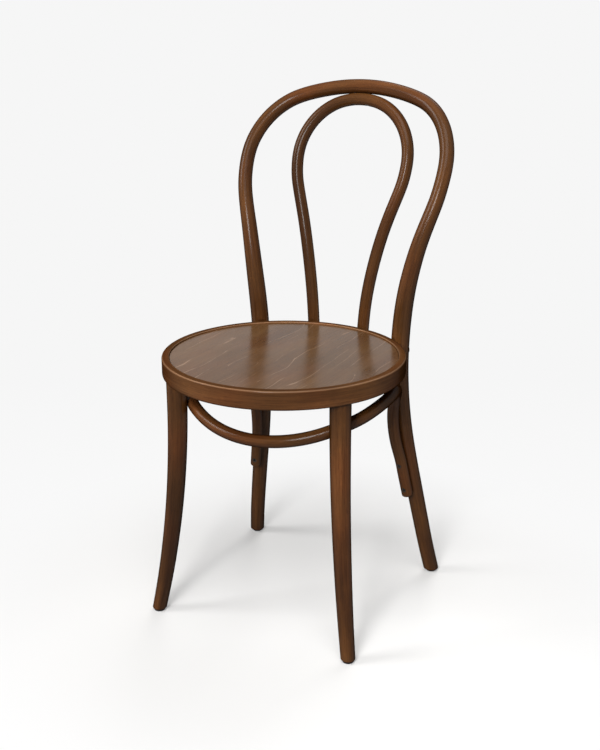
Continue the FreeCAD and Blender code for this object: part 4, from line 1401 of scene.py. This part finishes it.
@dataclass
class BraceHoop:
    """One rod round the inside of the front legs and down the fronts of the rear legs."""

    frame: BackFrame
    leg: FrontLeg
    diameter: float = 20.8
    front_reach: float = 120.0
    front_drop: float = 82.0
    leg_drop: float = 56.0
    leg_bearing: float = 128.0
    side_inset: float = 32.0
    side_share: float = 0.78
    arm_drop: float = 37.0
    grip_drop: float = 197.0
    end_drop: float = 264.0
    screw_end_distance: float = 13.0
    screw_spacing: float = 48.0
    screw_length: float = 34.0
    grip_bearing: float = -99.0
    rear_bend: Tuple[Triple, ...] = (
        (30.5, 104.0, 2.0), (24.5, 78.5, 1.0), (13.4, 50.5, -16.0),
        (2.0, 38.5, -48.0), (-3.0, 35.0, -81.0), (-4.8, 29.5, -128.0))

    def beside(self, axis_at: Callable[[float], Array], radius: Height, height: float,
               direction: Array) -> Array:
        """Centre of the brace level with a leg's axis, at a distance measured square to the axis.

        Args:
            axis_at: The leg's axis by height.
            radius: The leg's radius.
            height: Height of the place.
            direction: Level direction from the leg to the brace.

        Returns:
            The point.
        """
        along = unit(axis_at(height + 1) - axis_at(height - 1))
        distance = float(radius) + self.diameter / 2 + SEAT.rod_fit
        return axis_at(height) + direction * (distance / math.sqrt(1 - float(np.dot(along, direction)) ** 2))

    def at_front_leg(self, side: int) -> Array:
        """Centre of the brace where it passes a front leg."""
        height, leg = SEAT.rim_bottom - self.leg_drop, replace(self.leg, side=Side(side))
        return self.beside(leg.axis, leg.radius(height), height, bearing(self.leg_bearing, side))

    def at_rear_leg(self, height: float, side: int) -> Array:
        """Centre of the brace where it lies along a rear leg."""
        return self.beside(lambda level: self.frame.leg_axis(level, side), self.frame.radius(height), height,
                           bearing(self.grip_bearing, side))

    def half_line(self) -> Array:
        """Right half of the centre line, from the middle of the front to the end.

        Returns:
            Rows of x, y, z.
        """
        at_leg = self.at_front_leg(1)
        front = SEAT.rim_bottom - self.front_drop
        depth = at_leg[1] + self.front_reach
        radius = (at_leg[0] ** 2 + depth ** 2) / (2 * depth)
        share = np.array([0.0, 0.27, 0.54, 0.8])
        turn = math.asin(at_leg[0] / radius) * share
        start = np.stack([radius * np.sin(turn), radius * (1 - np.cos(turn)) - self.front_reach,
                          front + (at_leg[2] - front) * share ** 2], axis=1)
        arm = SEAT.rim_bottom - self.arm_drop
        bends = np.array([self.frame.leg_axis(arm + up, 1) + np.array([outward, -ahead, 0.0])
                          for outward, ahead, up in self.rear_bend])
        beside = np.array([SEAT.radius - self.side_inset,
                           at_leg[1] + (bends[0, 1] - at_leg[1]) * self.side_share, arm])
        share = np.array([0.7, 0.35, 0.0])[:, None]
        middle = beside - (beside - at_leg) * np.concatenate([share ** 3, share, share ** 2], axis=1)
        grip, end = SEAT.rim_bottom - self.grip_drop, SEAT.rim_bottom - self.end_drop
        rear = [self.at_rear_leg(grip + (end - grip) * share, 1) for share in (0, 0.25, 0.6, 1)]
        return np.concatenate([start, at_leg[None], middle, bends, rear])

    def front_screws(self) -> List[Screw]:
        """Screws through the brace into the front legs."""
        return [screw_through(self.at_front_leg(side.value), bearing(self.leg_bearing, side.value),
                              self.diameter, self.screw_length) for side in Side]

    def rear_screws(self) -> List[Screw]:
        """Two screws on each side through the brace into a rear leg."""
        low = SEAT.rim_bottom - self.end_drop + self.screw_end_distance
        return [screw_through(self.at_rear_leg(height, side.value), bearing(self.grip_bearing, side.value),
                              self.diameter, self.screw_length)
                for side in Side for height in (low, low + self.screw_spacing)]

    def build(self, finishes: Finishes) -> bpy.types.Object:
        """Makes the hoop with its countersunk holes.

        Args:
            finishes: The chair's finishes.

        Returns:
            The piece.
        """
        points, along = mirrored(self.half_line()).even(2.5)
        grid = rod_grid(points, along, np.full(len(points), self.diameter / 2), 48, (-60.0, 88.0, 0.0),
                        np.array([0.0, 0.5, 0.85]), 3.0)
        return make_piece("brace_hoop", "rod", [grid], finishes.rod, "frame_wood",
                          [screw.hole() for screw in self.front_screws() + self.rear_screws()])


@dataclass
class SeatRim:
    """Bent ring with a ledge for the panel, a flat top and rounded edges."""

    top_round: float = 3.2
    lip_round: float = 1.4
    foot_round: float = 5.0
    ledge_round: float = 0.5
    inner_foot_round: float = 1.5
    inner_top_round: float = 0.8
    spacing: float = 3.0
    sides: int = 360
    # Share and reach of the lighter top edges: partly rubbed wood, partly a painted highlight.
    wear_and_highlight_share: float = 0.80
    wear_and_highlight_reach: float = 1.5

    def profile(self) -> Array:
        """Cross-section, anticlockwise from the inner foot, with points at an even spacing.

        Returns:
            Rows of radius and height.
        """
        corners = rounded_profile([
            (SEAT.inner_radius, SEAT.rim_bottom, self.inner_foot_round),
            (SEAT.radius, SEAT.rim_bottom, self.foot_round), (SEAT.radius, SEAT.height, self.top_round),
            (SEAT.ledge_radius, SEAT.height, self.lip_round),
            (SEAT.ledge_radius, SEAT.ledge_height, self.ledge_round),
            (SEAT.inner_radius, SEAT.ledge_height, self.inner_top_round)], 8)
        spans = []
        for start, end in zip(corners, np.roll(corners, -1, axis=0)):
            count = max(int(np.linalg.norm(end - start) / self.spacing), 1)
            spans.append(start + (end - start) * np.linspace(0, 1, count + 1)[:-1, None])
        return np.concatenate(spans)

    def wear_and_highlight(self, profile: Array) -> Array:
        """Rubbed wood and a painted highlight on the two top edges, falling to nothing in a few millimetres.

        Args:
            profile: Rows of radius and height.

        Returns:
            A share for each row.
        """
        outer = np.hypot(profile[:, 0] - (SEAT.radius - 0.8), profile[:, 1] - (SEAT.height - 0.8))
        inner = np.hypot(profile[:, 0] - (SEAT.ledge_radius + 0.5), profile[:, 1] - (SEAT.height - 0.5))
        return self.wear_and_highlight_share * np.clip(1 - np.minimum(outer, inner * 1.3) / self.wear_and_highlight_reach, 0, 1)

    def panel_screws(self) -> List[Screw]:
        """Screws from under the rim into the panel.

        Returns:
            The four screws.
        """
        bite, inset = 5.0, 12.0
        length = SEAT.ledge_height - SEAT.rim_bottom - Screw.sink + bite
        return [Screw(bearing(90.0 * index) * (SEAT.inner_radius + inset) + UP * SEAT.rim_bottom, UP, length,
                      diameter=3.5, head_diameter=7.0) for index in range(4)]

    def build(self, finishes: Finishes, tenon_screws: Sequence[Screw]) -> bpy.types.Object:
        """Makes the rim with its holes.

        Args:
            finishes: The chair's finishes.
            tenon_screws: The screws that hold the front legs.

        Returns:
            The piece.
        """
        profile = self.profile()
        screws = [*tenon_screws, *self.panel_screws()]
        return make_piece("seat_rim", "ring", [lathe_grid(profile, self.sides, np.zeros(3), ring=True)],
                          finishes.rim, "rim_wood", [screw.hole() for screw in screws],
                          np.repeat(self.wear_and_highlight(profile), self.sides))


@dataclass
class SeatPanel:
    """Round plywood panel lying on the ledge, with softened edges."""

    clearance: float = 0.3
    edge_round: float = 0.8
    foot_round: float = 0.3
    edge_width: float = 2.0

    def build(self, finishes: Finishes) -> bpy.types.Object:
        """Makes the panel as a turned profile with rings close enough for an even surface.

        Args:
            finishes: The chair's finishes.

        Returns:
            The piece.
        """
        radius, low = SEAT.ledge_radius - self.clearance, SEAT.ledge_height
        top = low + SEAT.panel_thickness
        edge = rounded_profile([(0.0, low, 0.0), (radius, low, self.foot_round),
                                (radius, top, self.edge_round), (0.0, top, 0.0)], 6, closed=False)
        flat = radius - self.edge_width
        under, over = (np.stack([np.linspace(start, end, 12), np.full(12, level)], axis=1)
                       for start, end, level in ((0.0, flat, low), (flat, 0.0, top)))
        grid = lathe_grid(np.concatenate([under, edge[1:-1], over]), 240, np.zeros(3))
        return make_piece("seat_panel", "disc", [grid], finishes.panel, "panel_wood")


@dataclass
class Glide:
    """Round pad under a foot."""

    name: str
    foot: Array
    diameter: float = 19.0
    thickness: float = GLIDE_THICKNESS
    hollow: float = 0.5

    def build(self, finishes: Finishes) -> bpy.types.Object:
        """Makes the pad: a rounded foot, a small step, and a shallow hollow underneath.

        Args:
            finishes: The chair's finishes.

        Returns:
            The piece.
        """
        half, thick = self.diameter / 2, self.thickness
        profile = rounded_profile([
            (0.0, self.hollow, 0.0), (half * 0.35, self.hollow, 0.2), (half * 0.42, 0.0, 0.3),
            (half - 0.4, 0.0, 1.1), (half, thick * 0.6, 0.6), (half, thick, 0.2), (0.0, thick, 0.0)], 5,
            closed=False)
        return make_piece(self.name, "pad", [lathe_grid(profile, 56, self.foot * LEVEL)], finishes.glide,
                          "glide_plastic")


@dataclass(frozen=True)
class Viewpoint:
    """Camera fitted to the photograph: place, heading, downward tilt and framing."""

    place: Triple = (0.85509, -1.62985, 1.00898)
    yaw: float = -0.472411
    pitch: float = 0.321051
    roll: float = 0.000488
    focal: float = 1123.554
    centre: Pair = (311.419, 381.553)
    frame_size: Tuple[int, int] = (600, 750)
    sensor: float = 36.0
    far_end: float = 60.0

    def build(self) -> bpy.types.Object:
        """Makes the camera.

        The view direction is (sin yaw cos pitch, cos yaw cos pitch, -sin pitch); the shift is the
        offset of the image's middle from the principal point, over the longer side.

        Returns:
            The camera object.
        """
        data = bpy.data.cameras.new("studio_camera")
        wide, tall = self.frame_size
        data.sensor_fit = "AUTO"
        data.sensor_width = self.sensor
        data.lens = self.focal * self.sensor / tall
        data.shift_x = -(self.centre[0] - wide / 2) / tall
        data.shift_y = (self.centre[1] - tall / 2) / tall
        data.clip_end = self.far_end
        ahead = Vector((math.sin(self.yaw) * math.cos(self.pitch), math.cos(self.yaw) * math.cos(self.pitch),
                        -math.sin(self.pitch)))
        right = Vector((math.cos(self.yaw), -math.sin(self.yaw), 0.0))
        turn = Matrix((right, right.cross(ahead), -ahead)).transposed() @ Matrix.Rotation(self.roll, 3, "Z")
        camera = bpy.data.objects.new("studio_camera", data)
        camera.matrix_world = Matrix.Translation(Vector(self.place)) @ turn.to_4x4()
        bpy.context.scene.collection.objects.link(camera)
        bpy.context.scene.camera = camera
        return camera


@dataclass(frozen=True)
class Lamp:
    """One soft rectangular lamp, aimed at a point."""

    name: str
    place: Triple
    size: Pair
    watts: float
    aim: Triple = (0.0, 0.0, 0.4)
    colour: Triple = (1.0, 0.99, 0.975)

    def build(self) -> bpy.types.Object:
        """Makes the lamp.

        Returns:
            The lamp object.
        """
        data = bpy.data.lights.new(self.name, "AREA")
        data.shape = "RECTANGLE"
        data.size, data.size_y = self.size
        data.energy = self.watts
        data.color = self.colour
        lamp = bpy.data.objects.new(self.name, data)
        lamp.location = self.place
        direction = Vector(self.aim) - Vector(self.place)
        lamp.rotation_euler = direction.to_track_quat("-Z", "Y").to_euler()
        bpy.context.scene.collection.objects.link(lamp)
        return lamp


@dataclass(frozen=True)
class Studio:
    """Pale floor, white surroundings and four soft lamps.

    The floor glows evenly, brightest in front, apart from a round patch under the chair that takes its
    shadow. It turns to the background's tone far away.
    """

    lamps: Tuple[Lamp, ...] = (
        Lamp("top_lamp", (0.8, -2.05, 4.5), (2.9, 2.9), 140.0),
        Lamp("back_lamp", (-0.4, 3.0, 3.8), (2.4, 2.0), 85.0, (0.0, 0.0, 0.5)),
        Lamp("left_lamp", (-4.0, -2.6, 3.5), (1.9, 2.1), 150.0),
        Lamp("front_lamp", (0.7, -4.2, 2.6), (1.2, 1.4), 170.0),
    )
    background: Triple = (0.9216,) * 3
    world_light: float = 0.12
    floor_reach: float = 14.0
    floor_share: float = 0.14
    # Floor colour from left to right: painted light that evens out the left lamp's fall-off.
    floor_tone_with_painted_light: Pair = (0.635, 0.775)
    painted_light_reach: float = 0.4
    bounce: float = 0.2
    patch: Triple = (0.03, -0.06, 0.0)
    fade: Pair = (0.26, 0.72)
    away: Pair = (1.0, 4.0)
    depth: Triple = (-0.465, 0.885, 0.0)
    depth_span: Pair = (-0.5, 1.2)
    sweep: Tuple[Pair, ...] = ((0.0, 1.0), (0.12, 0.985), (0.30, 0.955), (1.0, 0.9216))

    def floor_material(self) -> bpy.types.Material:
        """Makes the floor's material, see-through from below.

        Returns:
            The material.
        """
        shader = Shader("pale_floor")
        place, seen = shader.objects(), shader.seen()
        distance = shader.measure("DISTANCE", place, self.patch)
        deep = shader.span(shader.measure("DOT_PRODUCT", place, self.depth), *self.depth_span)
        away = shader.span(distance, *self.away, kind="SMOOTHSTEP")
        glow = shader.blend("MIX", away, shader.ramp(deep, self.sweep), self.background)
        # Painted light: the floor's colour grows lighter to the right, where the left lamp's light is weaker,
        # so the floor reads evenly lit.
        across = shader.span(shader.axis(place, "X"), -self.painted_light_reach, self.painted_light_reach, *self.floor_tone_with_painted_light)
        tone = shader.reckon("MAXIMUM", shader.reckon("MULTIPLY", seen, across), self.bounce)
        shader.feed(shader.surface, {"Base Color": tone, "Roughness": 0.9, "Specular IOR Level": 0.1})
        far = shader.span(distance, *self.fade, kind="SMOOTHSTEP")
        share = shader.reckon("MULTIPLY", seen, shader.span(far, 0.0, 1.0, self.floor_share, 1.0))
        light = shader.node("ShaderNodeEmission", {"Color": glow}).outputs["Emission"]
        above = shader.mixed(share, shader.surface.outputs["BSDF"], light)
        below = shader.node("ShaderNodeNewGeometry").outputs["Backfacing"]
        clear = shader.node("ShaderNodeBsdfTransparent").outputs[0]
        shader.feed(shader.output, {"Surface": shader.mixed(below, above, clear)})
        return shader.material

    def floor(self) -> bpy.types.Object:
        """Makes the wide floor.

        Returns:
            The floor.
        """
        mesh, reach = bpy.data.meshes.new("floor"), self.floor_reach
        corners = [(reach * x, reach * y, 0.0) for x, y in ((-1, -1), (1, -1), (1, 1), (-1, 1))]
        mesh.from_pydata(corners, [], [(0, 1, 2, 3)])
        floor = bpy.data.objects.new("floor", mesh)
        bpy.context.scene.collection.objects.link(floor)
        mesh.materials.append(self.floor_material())
        return floor

    def world(self) -> None:
        """Sets white surroundings for the camera and for reflections, and a softer grey as light."""
        world = bpy.data.worlds.new("studio_world")
        bpy.context.scene.world = world
        world.use_nodes = True
        nodes = Nodes(world.node_tree)
        soft, white = (nodes.node("ShaderNodeBackground", {"Color": colour, "Strength": strength}).outputs[0]
                       for colour, strength in (((1.0,) * 3, self.world_light), (self.background, 1.0)))
        nodes.node("ShaderNodeOutputWorld", {"Surface": nodes.mixed(nodes.seen(), soft, white)})

    def build(self) -> None:
        """Makes the floor, the world and the lamps, and sets the plain view transform."""
        self.floor()
        self.world()
        for lamp in self.lamps:
            lamp.build()
        bpy.context.scene.view_settings.view_transform = "Standard"


class Chair:
    """The whole chair, built piece by piece."""

    def __init__(self) -> None:
        """Sets up the finishes and the sub-assemblies."""
        self.finishes = Finishes()
        self.back = BackFrame()
        self.bow = InnerBow(self.back)
        self.legs = [FrontLeg(side) for side in Side]
        self.brace = BraceHoop(self.back, self.legs[1])
        self.rim = SeatRim()
        self.tenon_screws = [leg.screw() for leg in self.legs]

    def glides(self) -> List[Glide]:
        """The four glides, each under the axis of its foot.

        Returns:
            The glides.
        """
        made = []
        for leg in self.legs:
            name, side = leg.side.name.lower(), leg.side.value
            made.append(Glide("glide_front_" + name, leg.axis(GLIDE_THICKNESS)))
            made.append(Glide("glide_rear_" + name, self.back.leg_axis(GLIDE_THICKNESS, side)))
        return made

    def fastenings(self) -> List[bpy.types.Object]:
        """Screws, bolts, washers and nuts, those of one node as one piece.

        Returns:
            The pieces.
        """
        bolts = self.back.bolts()
        dark, steel = (self.finishes.dark_steel, "dark_steel"), (self.finishes.steel, "steel")
        screws = (("bow_top_screws", self.bow.top_screws(), dark),
                  ("inner_bow_screws", self.bow.end_screws(), dark),
                  ("leg_tenon_screws", self.tenon_screws, dark),
                  ("brace_front_screws", self.brace.front_screws(), dark),
                  ("brace_rear_screws", self.brace.rear_screws(), dark),
                  ("panel_screws", self.rim.panel_screws(), steel))
        made = [make_piece(node, "cut", [screw.grid() for screw in places], *finish)
                for node, places, finish in screws]
        rows = (("seat_bolts", SeatBolt.bolt, dark), ("seat_bolt_washers", SeatBolt.washer, steel),
                ("seat_bolt_nuts", SeatBolt.nut, steel))
        return made + [make_piece(node, "turned", [shape(bolt) for bolt in bolts], *finish)
                       for node, shape, finish in rows]

    def nails(self) -> bpy.types.Object:
        """Gives the hidden glide nails their steel.

        Returns:
            The nails.
        """
        nails = frame["nodes"]["glide_nails"]
        nails.data.materials.clear()
        nails.data.materials.append(self.finishes.steel)
        return nails

    def build(self) -> None:
        """Builds every piece in order and reports each one."""
        pieces = [part.build(self.finishes) for part in (self.back, self.bow, *self.legs, self.brace)]
        pieces.append(self.rim.build(self.finishes, self.tenon_screws))
        pieces += [part.build(self.finishes) for part in (SeatPanel(), *self.glides())]
        pieces += self.fastenings()
        pieces.append(self.nails())
        for piece in pieces:
            LOG.info("%s: %d faces", piece.name, len(piece.data.polygons))


def main() -> None:
    """Builds the studio and the chair."""
    logging.basicConfig(level=logging.INFO, format="%(message)s")
    Viewpoint().build()
    Studio().build()
    Chair().build()


if __name__ == "__main__":
    main()
